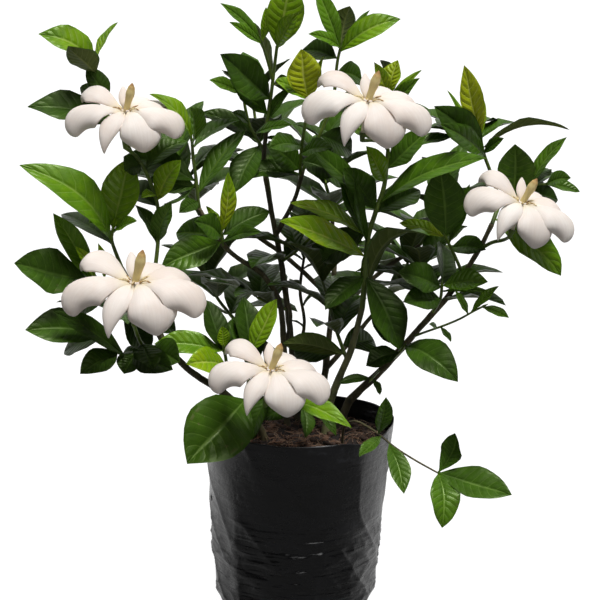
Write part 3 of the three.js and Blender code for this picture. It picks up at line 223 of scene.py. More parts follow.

# Leafy shoots. A leaf's row holds the part of the path where it roots, its tip across,
# down and deep, its width, how far its face turns from the viewer, its arch and its tone.
# The tone is partly the leaf's own green and partly painted light and shade: some leaves
# are darker for the shade they stand in, and some lighter where they face the light less.
# A whorl's row holds its part of the path, how many leaves it has, their length, width
# and lift, and the azimuth of the first.
SHOOTS = {
    "shoot_left_top": {
        "path": [[134, 158, -24], [118, 124, -12], [105, 91, -8], [98, 75, -8], [93, 62, -8]],
        "radii": [1.8, 1.5],
        "leaves": [
            [0.93, 38, 34, -30, 33, 40, 0.2, 0.7], [1.0, 118, 22, 4, 14, 60, 0.06, 0.65],
            [0.9, 68, 46, -46, 28, 150, -0.08, 0.35], [0.6, 86, 68, -20, 22, 20, 0.08, 0.12],
            [0.75, 83, 102, 14, 24, 30, 0.1, 0.12], [0.36, 27, 107, -40, 36, 38, 0.1, 0.18],
        ],
    },
    "shoot_bloom_1": {
        "path": [[155, 269, -32], [158, 245, -30], [159, 208, -28], [150, 180, -32], [137, 156, -40]],
        "radii": [2.0, 1.8],
        "leaves": [
            [0.17, 135, 205, -15, 20, 50, 0.1, 0.3], [0.2, 172, 202, -44, 22, 30, 0.08, 0.32],
            [0.5, 181, 160, -38, 26, 30, 0.08, 0.75], [0.75, 187, 141, -10, 26, 40, 0.1, 0.15],
            [0.55, 141, 198, -58, 11, 40, 0.1, 0.75], [0.45, 112, 190, 10, 34, 45, 0.08, 0.15],
            [0.8, 124, 170, -44, 26, 30, 0.08, 0.15],
        ],
    },
    "shoot_left_inner": {
        "path": [[199, 208, -15], [197, 192, -17], [196, 178, -19], [193, 158, -21], [192, 141, -22]],
        "radii": [2.0, 1.6],
        "leaves": [
            [1.0, 149, 94, -34, 22, 55, 0.18, 0.75], [1.0, 190, 107, -70, 30, 60, 0.08, 0.5],
            [0.4, 123, 157, -20, 36, 30, 0.1, 0.15], [0.3, 150, 178, -8, 26, 20, 0.08, 0.12],
            [0.2, 246, 130, 8, 26, 40, 0.06, 0.25], [0.9, 240, 120, 22, 22, 55, 0.08, 0.2],
            [0.4, 163, 204, -34, 9, 60, -0.2, 0.35], [0.1, 179, 213, -40, 16, 20, 0.08, 0.12],
            [0.6, 224, 146, 60, 20, 60, 0.08, 0.15],
        ],
    },
    "shoot_left_middle": {
        "path": [[122, 268, -38], [117, 256, -42], [111, 240, -45], [113, 228, -46]],
        "radii": [2.0, 1.6],
        "leaves": [
            [0.7, 19, 165, -78, 38, 32, 0.2, 0.5], [1.0, 130, 158, -34, 38, 15, 0.06, 0.7],
            [0.9, 137, 221, -66, 18, 60, 0.05, 0.65], [0.9, 88, 222, -56, 14, 60, 0.05, 0.6],
            [1.0, 117, 217, -50, 5, 20, 0, 0.8], [0.6, 62, 214, 20, 34, 50, 0.06, 0.15],
        ],
    },
    "shoot_left_low_twig": {
        "path": [[131, 284, -36], [115, 280, -42], [98, 280, -48], [86, 281, -54]],
        "radii": [1.8, 1.5],
        "leaves": [
            [0.9, 53, 213, -62, 24, 15, 0.06, 0.55], [1.0, 14, 263, -90, 46, 25, -0.02, 0.22],
            [0.8, 75, 246, -76, 12, 30, 0.05, 0.8], [0.6, 98, 243, -66, 10, 30, 0.05, 0.8],
            [0.7, 50, 276, 0, 30, 60, 0.08, 0.12], [0.45, 76, 314, -34, 28, 30, 0.06, 0.12],
        ],
    },
    "shoot_bloom_2": {
        "path": [[150, 351, -47], [142, 345, -64], [138, 337, -88]],
        "radii": [2.2, 2.0],
        "leaves": [[0.3, 153, 370, -98, 28, 20, 0.08, 0.12], [0.05, 180, 362, -72, 34, 15, 0.04, 0.12]],
    },
    "shoot_left_low": {
        "path": [[140, 350, -50], [128, 358, -54], [114, 350, -58], [102, 333, -60]],
        "radii": [2.0, 1.6],
        "leaves": [
            [1.0, 25, 330, -84, 40, 30, 0.06, 0.22], [0.35, 52, 311, -96, 24, 35, 0.05, 0.15],
            [0.5, 80, 374, -88, 28, 25, 0.08, 0.25], [0.2, 173, 370, -84, 30, 20, 0.06, 0.1],
            [0.1, 124, 374, -66, 26, 25, 0.06, 0.12], [0.9, 64, 352, -20, 28, 40, 0.06, 0.12],
            [0.4, 144, 351, -92, 9, 30, 0.08, 0.15],
        ],
    },
    "shoot_left_leaves": {
        "path": [[226, 250, -3], [222, 243, -8], [221, 232, -12]],
        "radii": [1.8, 1.5],
        "leaves": [
            [0.5, 161, 267, -34, 33, 15, 0.06, 0.3], [0.7, 176, 233, 14, 34, 30, 0.06, 0.2],
            [0.8, 194, 221, -40, 26, 30, 0.1, 0.25], [0.8, 270, 211, 8, 28, 30, 0.06, 0.12],
            [1.0, 228, 172, -16, 17, 20, 0.05, 0.8], [0.9, 206, 206, -4, 12, 40, 0.05, 0.8],
            [0.5, 262, 232, -30, 16, 40, 0.08, 0.2],
        ],
    },
    "shoot_left_base": {
        "path": [[224, 392, -24], [227, 372, -34], [226, 358, -38], [223, 346, -40]],
        "radii": [2.0, 1.6],
        "leaves": [
            [0.9, 154, 344, -56, 28, 30, 0.05, 0.6], [0.6, 186, 364, -72, 30, 30, 0.1, 0.75],
            [1.0, 222, 326, -42, 14, 20, 0, 0.8], [0.8, 205, 300, -20, 26, 30, 0.06, 0.12],
            [0.9, 256, 318, -20, 30, 25, 0.06, 0.12],
        ],
    },
    "shoot_bloom_5": {
        "path": [[285, 372, 26], [276, 384, -8], [269, 396, -50], [266, 405, -78]],
        "radii": [2.2, 2.0],
        "leaves": [[0.6, 352, 428, -96, 24, 40, 0.08, 0.62], [0.5, 252, 440, -60, 20, 30, 0.1, 0.15]],
    },
    "shoot_low_left": {
        "path": [[243, 409, -20], [247, 398, -44], [249, 374, -52], [250, 352, -54]],
        "leaves": [
            [0.36, 187, 464, -106, 66, 8, 0.08, 0.27], [1.0, 277, 299, -50, 24, 25, 0.05, 0.7],
            [0.96, 243, 297, -30, 28, 20, 0.06, 0.12], [0.9, 232, 318, -46, 22, 30, 0.06, 0.12],
            [0.7, 268, 306, -10, 28, 25, 0.06, 0.12],
        ],
    },
    "shoot_low_centre": {
        "path": [[331, 399, 0], [318, 398, -22], [306, 404, -34], [298, 402, -40]],
        "radii": [1.8, 1.5],
        "leaves": [
            [1.0, 262, 420, -58, 24, 30, 0.08, 0.12], [0.9, 305, 438, -62, 18, 40, 0.08, 0.12],
            [0.7, 336, 436, -48, 14, 40, 0.08, 0.12],
        ],
    },
    "shoot_centre": {
        "path": [
            [362, 308, -10], [364, 290, -10], [366, 258, -10], [368, 235, -9], [378, 205, -8],
            [385, 185, -8], [388, 150, -10],
        ],
        "radii": [3.0, 2.0],
        "leaves": [
            [0.02, 430, 236, -66, 32, 125, 0.3, 0.35], [0.32, 279, 221, -76, 34, 45, 0.06, 0.85],
            [0.45, 290, 203, -20, 26, 50, 0.06, 0.75], [0.4, 354, 178, -34, 12, 30, 0.04, 0.2],
            [0.42, 338, 171, -4, 16, 30, 0.04, 0.2], [0.66, 308, 142, -14, 26, 40, -0.06, 0.25],
            [0.66, 487, 158, -50, 34, 50, 0.1, 0.4], [0.62, 343, 168, 8, 32, 30, 0.06, 0.15],
            [0.8, 366, 146, -42, 22, 30, 0.05, 0.8], [0.88, 427, 132, -16, 30, 35, 0.05, 0.2],
            [0.95, 457, 136, 14, 18, 50, 0.05, 0.2], [0.2, 400, 350, -30, 38, 25, 0.06, 0.12],
            [0.2, 325, 310, -50, 28, 35, 0.06, 0.12], [0.5, 322, 262, 10, 34, 30, 0.06, 0.1],
            [0.6, 420, 190, 24, 34, 35, 0.06, 0.12],
        ],
    },
    "shoot_bloom_3": {
        "path": [[388, 150, -10], [384, 143, -20], [374, 140, -38]],
        "radii": [2.0, 1.8],
        "leaves": [[0.3, 350, 128, -14, 18, 40, 0.08, 0.5]],
    },
    "shoot_right_top": {
        "path": [[386, 168, -9], [398, 140, 14], [392, 114, 20], [386, 96, 18]],
        "radii": [1.8, 1.5],
        "leaves": [
            [0.9, 374, 62, -4, 16, 30, 0.06, 0.85], [1.0, 398, 60, 8, 22, 30, 0.06, 0.85],
            [0.95, 422, 70, 14, 9, 40, 0.04, 0.7], [0.8, 420, 78, -16, 16, 40, 0.08, 0.4],
            [0.6, 430, 110, 36, 32, 40, 0.08, 0.15], [0.9, 380, 60, 60, 30, 100, 0.06, 0.15],
        ],
    },
    "shoot_top_right": {
        "path": [[303, 170, 14], [318, 140, 10], [334, 100, 8], [337, 62, 4], [341, 46, 2]],
        "leaves": [
            [1.0, 316, -12, 4, 20, 20, 0.05, 0.45], [1.0, 350, 6, -14, 30, 150, 0.1, 0.4],
            [1.0, 370, 10, 14, 9, 40, 0.04, 0.5], [0.95, 401, 19, -4, 26, 30, 0.19, 0.6],
            [0.98, 308, 34, -20, 14, 40, 0.16, 0.5], [0.8, 362, 80, 26, 26, 35, 0.06, 0.3],
            [0.9, 302, 50, 24, 28, 35, 0.06, 0.12], [0.5, 370, 112, 60, 34, 50, 0.08, 0.1],
            [0.3, 352, 152, 34, 32, 35, 0.06, 0.1], [0.1, 348, 186, 30, 30, 35, 0.06, 0.1],
        ],
    },
    "shoot_top_middle": {
        "path": [[300, 180, 22], [301, 150, -8], [306, 120, -16], [309, 98, -20]],
        "radii": [1.8, 1.5],
        "leaves": [
            [1.0, 301, 49, -28, 34, 10, 0.04, 0.9], [0.9, 324, 56, -8, 10, 40, 0.05, 0.9],
            [1.0, 275, 80, -40, 20, 40, 0.08, 0.7], [0.5, 268, 148, -40, 24, 35, 0.08, 0.2],
            [0.4, 333, 148, -36, 20, 40, 0.08, 0.35], [0.08, 234, 176, 10, 30, 50, 0.06, 0.15],
            [0.15, 266, 144, 0, 34, 35, 0.06, 0.12], [0.3, 336, 176, -10, 32, 30, 0.06, 0.12],
        ],
    },
    "shoot_top": {
        "path": [[267, 122, 22], [272, 88, 16], [275, 62, 12], [277, 46, 10]],
        "radii": [2.0, 1.6],
        "leaves": [
            [1.0, 290, -20, 2, 38, 12, 0.05, 0.75], [0.98, 299, 12, -24, 20, 30, 0.05, 0.75],
            [0.3, 220, 54, -26, 36, 22, 0.06, 0.18], [0.1, 229, 79, -6, 22, 30, 0.06, 0.15],
            [0.5, 290, 84, 0, 18, 160, 0.06, 0.3], [0.02, 292, 87, 10, 13, 40, 0.06, 0.12],
            [0.6, 246, 20, 50, 26, 110, 0.06, 0.4],
        ],
    },
    "shoot_top_twig": {
        "path": [[273, 82, 15], [268, 62, 8], [261, 40, 2]],
        "radii": [1.6, 1.3],
        "leaves": [
            [1.0, 220, 3, -8, 14, 35, 0.08, 0.5], [0.9, 229, 22, -22, 11, 35, 0.06, 0.5],
            [1.0, 266, 7, -4, 11, 20, 0.04, 0.7],
        ],
    },
    "shoot_top_left": {
        "path": [[264, 150, 27], [250, 128, 22], [245, 108, 18], [243, 92, 16]],
        "radii": [1.7, 1.4],
        "leaves": [
            [1.0, 209, 80, 6, 16, 40, 0.08, 0.65], [0.2, 202, 112, 4, 24, 40, 0.08, 0.15],
            [0.5, 232, 112, 0, 12, 40, 0.05, 0.2], [0.3, 292, 125, 2, 15, 50, 0.06, 0.3],
            [0.1, 236, 192, 10, 30, 25, 0.06, 0.12], [0.8, 230, 60, 50, 26, 100, 0.06, 0.12],
        ],
    },
    "shoot_right_middle": {
        "path": [[463, 275, -4], [455, 256, -12], [445, 236, -22]],
        "radii": [1.8, 1.5],
        "leaves": [
            [1.0, 440, 167, -28, 42, 5, 0.04, 0.3], [1.0, 399, 223, -44, 18, 40, 0.06, 0.85],
            [0.8, 470, 184, -20, 14, 20, 0.04, 0.2], [0.7, 486, 250, -42, 24, 35, 0.08, 0.15],
        ],
    },
    "shoot_right_low": {
        "path": [[432, 314, 0], [441, 299, -14], [442, 284, -18]],
        "radii": [1.8, 1.5],
        "leaves": [
            [1.0, 488, 282, -36, 26, 35, 0.06, 0.5], [0.9, 398, 272, -34, 32, 30, 0.06, 0.12],
            [0.6, 403, 302, -44, 28, 30, 0.06, 0.12], [0.8, 490, 292, -18, 9, 40, 0.05, 0.5],
            [1.0, 440, 242, 36, 30, 50, 0.06, 0.1],
        ],
    },
    "shoot_right_base": {
        "path": [[392, 359, 9], [401, 351, -14], [405, 345, -22]],
        "radii": [1.8, 1.5],
        "leaves": [
            [1.0, 458, 382, -62, 37, 25, 0.2, 0.15], [0.9, 372, 306, -22, 34, 25, 0.06, 0.12],
            [0.6, 366, 366, -16, 24, 30, 0.08, 0.12],
        ],
    },
    "shoot_right_sprig": {
        "path": [[381, 369, 12], [375, 375, -2], [371, 380, -8]],
        "radii": [1.3, 1.1],
        "leaves": [[1.0, 338, 384, -14, 12, 40, 0.06, 0.2], [0.9, 380, 395, -12, 9, 40, 0.05, 0.2]],
    },
    "shoot_right_twig": {
        "path": [
            [412, 337, 4], [428, 331, -14], [443, 326, -24], [460, 319, -31], [474, 311, -36],
            [484, 306, -38],
        ],
        "radii": [1.3, 1.0],
        "leaves": [
            [0.8, 455, 291, -38, 10, 40, 0.06, 0.5], [0.85, 499, 286, -40, 12, 40, 0.06, 0.5],
            [1.0, 509, 318, -50, 12, 40, 0.06, 0.45], [0.4, 429, 324, -40, 7, 40, 0.05, 0.3],
            [0.45, 451, 342, -40, 8, 40, 0.05, 0.2],
        ],
    },
    "shoot_bloom_4": {
        "path": [[480, 249, -6], [492, 242, -16], [504, 240, -28]],
        "radii": [2.0, 1.8],
    },
    "shoot_right_upper": {
        "path": [[492, 224, -6], [500, 202, 8], [492, 176, 10], [483, 152, 4], [480, 134, 2]],
        "radii": [2.2, 1.6],
        "leaves": [
            [0.06, 561, 276, -26, 36, 30, 0.16, 0.55], [1.0, 464, 65, -16, 24, 15, 0.04, 0.9],
            [1.0, 483, 98, 6, 9, 30, 0.02, 0.9], [0.8, 434, 106, -24, 34, 20, 0.06, 0.15],
            [0.75, 440, 124, -46, 24, 30, 0.08, 0.2], [0.9, 447, 90, 14, 8, 40, 0.02, 0.6],
            [0.85, 570, 130, -14, 22, 108, 0.16, 0.3], [0.8, 504, 138, -18, 12, 30, 0.04, 0.3],
        ],
    },
    "shoot_right_tip": {
        "path": [[498, 208, 4], [514, 196, 22], [534, 184, 26], [548, 184, 24]],
        "radii": [1.8, 1.3],
        "leaves": [
            [0.4, 515, 144, 14, 38, 10, 0.04, 0.3], [0.7, 567, 137, 22, 18, 40, 0.05, 0.35],
            [1.0, 571, 178, 6, 18, 35, 0.05, 0.3], [1.0, 580, 192, 26, 14, 40, 0.05, 0.3],
            [0.6, 560, 174, 70, 30, 60, 0.06, 0.12], [0.5, 558, 200, 40, 30, 40, 0.06, 0.12],
            [0.8, 546, 168, 44, 26, 35, 0.06, 0.12],
        ],
    },
    "shoot_trailing": {
        "path": [
            [344, 470, -22], [342, 440, -24], [344, 424, -34], [356, 420, -50], [375, 431, -72],
            [396, 448.5, -86], [418, 462, -92], [440, 474, -94],
        ],
        "radii": [2.4, 1.5],
        "leaves": [
            [0.6, 386, 397, -88, 18, 25, 0.04], [0.62, 359, 457, -108, 14, 30, 0.05],
            [0.68, 404, 494, -120, 22, 20, 0.05], [1.0, 455, 433, -104, 24, 25, -0.2],
            [1.0, 512, 495, -124, 36, 30, 0.0], [1.0, 442, 528, -128, 30, 20, 0.2],
        ],
    },
    "shoot_inner_low": {
        "path": [[347, 360, -6], [336, 330, 22], [328, 300, 34], [322, 280, 38]],
        "leaves": [
            [0.07, 283, 343, -40, 25, 150, 0.05, 0.3], [0.12, 294, 352, 40, 32, 30, 0.06, 0.1],
            [0.2, 374, 340, 40, 32, 30, 0.06, 0.1],
        ],
        "whorls": [[0.35, 2, 74, 34, 15, 80], [0.65, 3, 76, 34, 20, 200], [1.0, 3, 70, 32, 40, 70]],
    },
    "shoot_inner_middle": {
        "path": [[281, 262, 49], [298, 250, 32], [312, 236, 20]],
        "radii": [1.9, 1.5],
        "whorls": [[0.1, 2, 72, 34, 0, 60], [0.5, 3, 72, 34, 10, 120], [1.0, 3, 74, 34, 25, 250]],
    },
    "shoot_inner_right": {
        "path": [[438, 307, -1], [428, 286, 24], [420, 268, 34]],
        "radii": [1.9, 1.5],
        "whorls": [[0.1, 2, 74, 34, 0, 150], [0.5, 3, 74, 34, 10, 200], [1.0, 3, 74, 34, 25, 280]],
    },
    "shoot_inner_low_left": {
        "path": [[288, 310, 53], [270, 304, 36], [258, 298, 24]],
        "radii": [1.9, 1.5],
        "whorls": [[0.5, 3, 72, 34, 10, 250], [1.0, 3, 74, 34, 15, 180]],
    },
    "shoot_inner_top": {
        "path": [[306, 164, 13], [326, 168, 26], [344, 160, 30]],
        "radii": [1.8, 1.5],
        "whorls": [[0.5, 3, 68, 32, 20, 80], [1.0, 3, 70, 32, 30, 280]],
    },
    "shoot_inner_right_top": {
        "path": [[484, 156, 5], [470, 144, 24], [458, 132, 30]],
        "radii": [1.7, 1.4],
        "whorls": [[0.5, 2, 58, 28, 15, 220], [1.0, 3, 58, 28, 10, 150]],
    },
    "shoot_inner_left_low": {
        "path": [[138, 300, -34], [128, 310, -8], [122, 318, 6]],
        "radii": [1.8, 1.4],
        "leaves": [[0.45, 176, 331, 2, 32, 30, 0.08, 0.1], [1.0, 146, 356, 10, 32, 30, 0.08, 0.1]],
        "whorls": [[0.5, 2, 62, 30, 10, 200], [1.0, 3, 68, 32, 5, 170]],
    },
    "shoot_back_middle": {
        "path": [[332, 215, 128], [328, 190, 140], [318, 165, 148]],
        "whorls": [[0.1, 3, 84, 38, 15, 30], [0.6, 3, 80, 36, 30, 90], [1.0, 3, 70, 32, 55, 30]],
    },
    "shoot_back_low_right": {
        "path": [[385, 300, 130], [400, 282, 146], [408, 262, 156]],
        "whorls": [[0.15, 3, 84, 38, 5, 60], [0.6, 3, 84, 36, 20, 0], [1.0, 3, 70, 32, 45, 50]],
    },
    "shoot_back_right": {
        "path": [[420, 245, 104], [436, 222, 106], [446, 196, 104]],
        "whorls": [[0.2, 3, 80, 38, 15, 20], [0.7, 3, 76, 34, 25, 80], [1.0, 2, 62, 28, 55, 40]],
    },
    "shoot_back_low_left": {
        "path": [[235, 320, 120], [218, 300, 134], [208, 280, 142]],
        "whorls": [[0.15, 3, 84, 38, 5, 90], [0.6, 3, 84, 36, 20, 30], [1.0, 3, 70, 32, 45, 80]],
    },
    "shoot_back_left": {
        "path": [[200, 215, 104], [186, 190, 106], [176, 160, 102]],
        "whorls": [[0.2, 3, 82, 38, 15, 50], [0.6, 3, 80, 36, 25, 110], [1.0, 3, 68, 30, 50, 50]],
    },
    "shoot_back_top": {
        "path": [[272, 215, 40], [268, 180, 68], [258, 140, 84], [254, 110, 90]],
        "whorls": [[0.4, 3, 82, 38, 10, 80], [0.7, 3, 78, 34, 25, 40], [1.0, 3, 66, 28, 50, 100]],
    },
}

BLOOMS = {
    "bloom_1": {"shoot": "shoot_bloom_1", "place": [126, 111, -54], "size": 1.0, "lean": 3, "tip": 6},
    "bloom_2": {"shoot": "shoot_bloom_2", "place": [135, 283, -122], "size": 1.2, "lean": 3, "tip": 6},
    "bloom_3": {"shoot": "shoot_bloom_3", "place": [368, 101, -66], "size": 1.1, "lean": 8, "tip": 6},
    "bloom_4": {"shoot": "shoot_bloom_4", "place": [522, 203, -48], "size": 1.0, "lean": 18, "tip": 6},
    "bloom_5": {"shoot": "shoot_bloom_5", "place": [271, 370, -112], "size": 1.03, "lean": 9, "tip": 6},
}

# Whole numbers that hash a cell's corner
HASH_SEED, HASH_PLACE, HASH_AXIS, HASH_MIX = 374761393, 668265263, 97, 1274126177


def seen(places):
    """Points of places in the front view: each lies on the line from the viewer through
    its point on the sheet, where that line reaches the place's depth."""
    across, down, depth = np.moveaxis(np.asarray(places, float), -1, 0)
    up = SHEET / 2 - down
    on_sheet = np.stack([
        across - SHEET / 2,
        up * math.sin(VIEW_ELEVATION),
        VIEW_HEIGHT + up * math.cos(VIEW_ELEVATION),
    ], -1)
    reach = (depth - VIEWER[1]) / (on_sheet[..., 1] - VIEWER[1])
    return VIEWER + (on_sheet - VIEWER) * reach[..., None]


def unit(vectors):
    """Vectors divided by their lengths."""
    return vectors / np.linalg.norm(vectors, axis=-1, keepdims=True)


def square_to(vectors, axes):
    """The unit part of each vector that is square to its unit axis: v - (v.a)a."""
    return unit(vectors - (vectors * axes).sum(-1, keepdims=True) * axes)


def heading(azimuth, rise=0.0):
    """Unit directions round +Z at azimuths in radians, that climb by rise."""
    azimuth = np.asarray(azimuth)
    level = math.cos(rise)
    return np.stack([np.cos(azimuth) * level, np.sin(azimuth) * level,
                     np.full(azimuth.shape, math.sin(rise))], -1)


def round_turn(sides):
    """Even azimuths of a number of sides."""
    return np.arange(sides) * FULL_TURN / sides


def nearest_turn(away):
    """Differences of azimuth, taken the short way round."""
    return np.arctan2(np.sin(away), np.cos(away))


def on_path(points, parts):
    """Places and directions at parts of a polyline's length, straight between its points,
    and that length."""
    stretches = np.diff(points, axis=0)
    lengths = np.linalg.norm(stretches, axis=1)
    marks = np.concatenate([[0], np.cumsum(lengths)]) / lengths.sum()
    parts = np.atleast_1d(parts)
    index = np.clip(np.searchsorted(marks, parts, side="right") - 1, 0, len(lengths) - 1)
    places = np.stack([np.interp(parts, marks, points[:, axis]) for axis in range(3)], -1)
    return places, stretches[index] / lengths[index, None], lengths.sum()


def smooth_step(low, high, values):
    """0 below low, 1 above high, and 3t^2 - 2t^3 between them."""
    part = np.clip((values - low) / (high - low), 0, 1)
    return part * part * (3 - 2 * part)


def noise(places, seed):
    """Smooth value noise from -1 to 1: the corners of each unit cell get a number hashed
    from their whole coordinates, and places blend them by 3t^2 - 2t^3."""
    places = np.asarray(places, float)
    cell = np.floor(places).astype(np.int64)
    part = places - cell
    part = part * part * (3 - 2 * part)
    total = np.zeros(places.shape[:-1])
    for corner in np.ndindex(*(2,) * places.shape[-1]):
        at = cell + np.array(corner)
        mixed = np.full(at.shape[:-1], seed * HASH_SEED, np.int64)
        for axis in range(at.shape[-1]):
            mixed = (mixed ^ (at[..., axis] * (HASH_PLACE + HASH_AXIS * axis))) * HASH_MIX & 0x7FFFFFFF
            mixed ^= mixed >> 13
        value = (mixed & 0xFFFF) / 32767.5 - 1
        weight = np.prod(np.where(corner, part, 1 - part), axis=-1)
        total += weight * value
    return total


def ridges(values):
    """Noise as narrow creases: (1 - |noise|)^4."""
    return (1 - np.abs(values)) ** 4


def number_source(seed):
    """A seeded source of numbers from 0 to 1: each state is 16807 times the last, by
    2147483647."""
    state = seed
    while True:
        state = (state * 16807) % 2147483647
        yield state / 2147483647


# Meshes ---------------------------------------------------------------------------

def in_scene(name, data):
    """A new object in the scene."""
    thing = bpy.data.objects.new(name, data)
    bpy.context.scene.collection.objects.link(thing)
    return thing


def new_piece(name, points, faces, materials, replaced=(), face_material=None,
              uv=None, tone=None, under=None):
    """A mesh object at the origin from points in mm and faces (rows of 3 or 4 indices),
    that rides on the plant's one body. uv, tone and under are given for each point."""
    mesh = bpy.data.meshes.new(name)
    sizes = np.concatenate([np.full(len(group), group.shape[1]) for group in faces])
    loops = np.concatenate([group.ravel() for group in faces])
    starts = np.concatenate([[0], np.cumsum(sizes)[:-1]])
    mesh.vertices.add(len(points))
    mesh.vertices.foreach_set("co", (points / METRE).astype(np.float32).ravel())
    mesh.loops.add(len(loops))
    mesh.loops.foreach_set("vertex_index", loops.astype(np.int32))
    mesh.polygons.add(len(sizes))
    mesh.polygons.foreach_set("loop_start", starts.astype(np.int32))
    for material in materials:
        mesh.materials.append(material)
    if face_material is not None:
        mesh.polygons.foreach_set("material_index", face_material.astype(np.int32))
    mesh.update(calc_edges=True)
    if uv is not None:
        layer = mesh.uv_layers.new(name="surface")
        layer.uv.foreach_set("vector", uv[loops].astype(np.float32).ravel())
    for label, values in (("tone", tone), ("under", under)):
        if values is not None:
            attribute = mesh.attributes.new(label, "FLOAT", "POINT")
            attribute.data.foreach_set("value", values.astype(np.float32))
    mesh.validate()
    mesh.shade_smooth()
    piece = in_scene(name, mesh)
    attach(piece, "root")
    if replaced:
        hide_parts(*replaced)
    return piece


def repeated(faces, number, size):
    """The faces of one shape of size points, for a number of such shapes in a row."""
    offsets = (np.arange(number) * size)[:, None, None]
    return [(group + offsets).reshape(-1, group.shape[-1]) for group in faces]


def ring_faces(rings, sides):
    """Quads that join rings of points, and the fans of the first and last ring to two
    points that follow them all."""
    index = np.arange(rings * sides).reshape(rings, sides)
    right = np.roll(index, -1, axis=1)
    quads = np.stack([index[:-1], right[:-1], right[1:], index[1:]], -1).reshape(-1, 4)
    first = np.full(sides, rings * sides)
    start = np.stack([right[0], index[0], first], -1)
    end = np.stack([index[-1], right[-1], first + 1], -1)
    return quads, start, end


def closed_rings(ring, ends, down):
    """A closed round shape of rings of points, rings x sides x 3, and its two end points,
    with how far down it each ring is: points, faces and surface coordinates."""
    rings, sides = ring.shape[:2]
    quads, start, end = ring_faces(rings, sides)
    around, along = np.meshgrid(np.arange(sides) / sides, down)
    uv = np.stack([around, along], -1).reshape(-1, 2)
    uv = np.concatenate([uv, [[0, down[0]], [0, down[-1]]]])
    return np.concatenate([ring.reshape(-1, 3), ends]), [quads, np.concatenate([start, end])], uv


def tube(points, radii, sides, step, wobble=0.0, seed=1):
    """A closed tapered tube along a polyline with its corners cut: rings of points at
    each step, joined by quads, with a fan at each end. The radius goes evenly from the
    first to the last and takes noise of the given part."""
    points = np.asarray(points, float)
    for _ in range(2):
        before, after = points[:-1], points[1:]
        step_in = (after - before) * CORNER_CUT
        cut = np.stack([before + step_in, after - step_in], 1)
        points = np.concatenate([points[:1], cut.reshape(-1, 3), points[-1:]])
    length = np.linalg.norm(np.diff(points, axis=0), axis=1).sum()
    rings = max(3, int(length / step) + 1)
    parts = np.linspace(0, 1, rings)
    centres = on_path(points, parts)[0]
    tangents = unit(np.gradient(centres, axis=0))
    across = np.eye(3)[np.abs(tangents).max(axis=0).argmin()]
    normals = square_to(np.broadcast_to(across, tangents.shape), tangents)
    binormals = np.cross(tangents, normals)
    cos, sin = np.cos(round_turn(sides)), np.sin(round_turn(sides))
    radius = np.interp(parts, [0, 1], radii)[:, None] * np.ones(sides)
    if wobble:
        places = np.concatenate([
            np.broadcast_to(np.stack([cos, sin], -1) * WOBBLE_CELLS["around"], (rings, sides, 2)),
            np.broadcast_to((parts * length / WOBBLE_CELLS["along"])[:, None, None], (rings, sides, 1)),
        ], -1)
        radius = radius * (1 + wobble * noise(places, seed))
    ring = (centres[:, None] + normals[:, None] * (cos * radius)[..., None]
            + binormals[:, None] * (sin * radius)[..., None])
    return closed_rings(ring, centres[[0, -1]], parts * length / SURFACE_STRETCH)


def turned(profile, sides, rings):
    """A closed turned shape round +Z from a profile of (height, radius), smoothed by
    resampling it evenly, with a fan at each end."""
    profile = np.array(profile, float)
    parts = np.linspace(0, 1, rings)
    marks = np.linspace(0, 1, len(profile))
    height, radius = (np.interp(parts, marks, profile[:, axis]) for axis in (0, 1))
    for _ in range(2):
        radius[1:-1] = np.convolve(radius, [0.25, 0.5, 0.25], "valid")
    ring = heading(round_turn(sides)) * radius[:, None, None] + UP * height[:, None, None]
    return closed_rings(ring, [UP * height[0], UP * height[-1]], parts)


def joined(parts):
    """Meshes of (points, [quads, tris], uv, tone, under) as one, and which part each
    face came from."""
    points, faces, uv, tones, unders = zip(*parts)
    counts = [len(these) for these in points]
    offsets = np.cumsum([0, *counts[:-1]])
    groups = [np.concatenate([pair[kind] + offset for pair, offset in zip(faces, offsets)])
              for kind in (0, 1)]
    owner = np.concatenate([np.full(len(pair[kind]), number)
                            for kind in (0, 1) for number, pair in enumerate(faces)])
    tone, under = (np.concatenate([np.broadcast_to(value, count) for value, count in zip(values, counts)])
                   for values in (tones, unders))
    return np.concatenate(points), groups, np.concatenate(uv), tone, under, owner


# Thin shells: leaves and petals ------------------------------------------------------

def shell_faces(rows, columns):
    """Faces of a closed thin shell: an upper and an under grid of rows x columns that
    share their side columns and first row, and one tip point. Rows of four indices and
    rows of three, and how many points it has."""
    upper = np.arange(rows * columns).reshape(rows, columns)
    tip = rows * columns
    lower = upper.copy()
    inner = np.arange((rows - 1) * (columns - 2)).reshape(rows - 1, columns - 2)
    lower[1:, 1:-1] = tip + 1 + inner
    top = np.stack([upper[:-1, :-1], upper[1:, :-1], upper[1:, 1:], upper[:-1, 1:]], -1)
    bottom = np.stack([lower[:-1, 1:], lower[1:, 1:], lower[1:, :-1], lower[:-1, :-1]], -1)
    bottom = bottom.reshape(-1, 4)
    bottom = bottom[[len(set(face)) == 4 for face in bottom.tolist()]]
    tips = np.full(columns - 1, tip)
    top_tip = np.stack([upper[-1, :-1], tips, upper[-1, 1:]], -1)
    bottom_tip = np.stack([lower[-1, :-1], lower[-1, 1:], tips], -1)
    quads = np.concatenate([top.reshape(-1, 4), bottom])
    return quads, np.concatenate([top_tip, bottom_tip]), tip + 1 + inner.size


def shell_points(upper, lower, tips):
    """Points of many shells, shells x points x 3, from their grids and tips."""
    count = len(upper)
    inner = lower[:, 1:, 1:-1].reshape(count, -1, 3)
    return np.concatenate([upper.reshape(count, -1, 3), tips[:, None], inner], 1)


def shell_values(grid, tip_value):
    """One shell's value for each point, the same on both faces, from its upper grid."""
    return np.concatenate([grid.ravel(), [tip_value], grid[1:, 1:-1].ravel()])


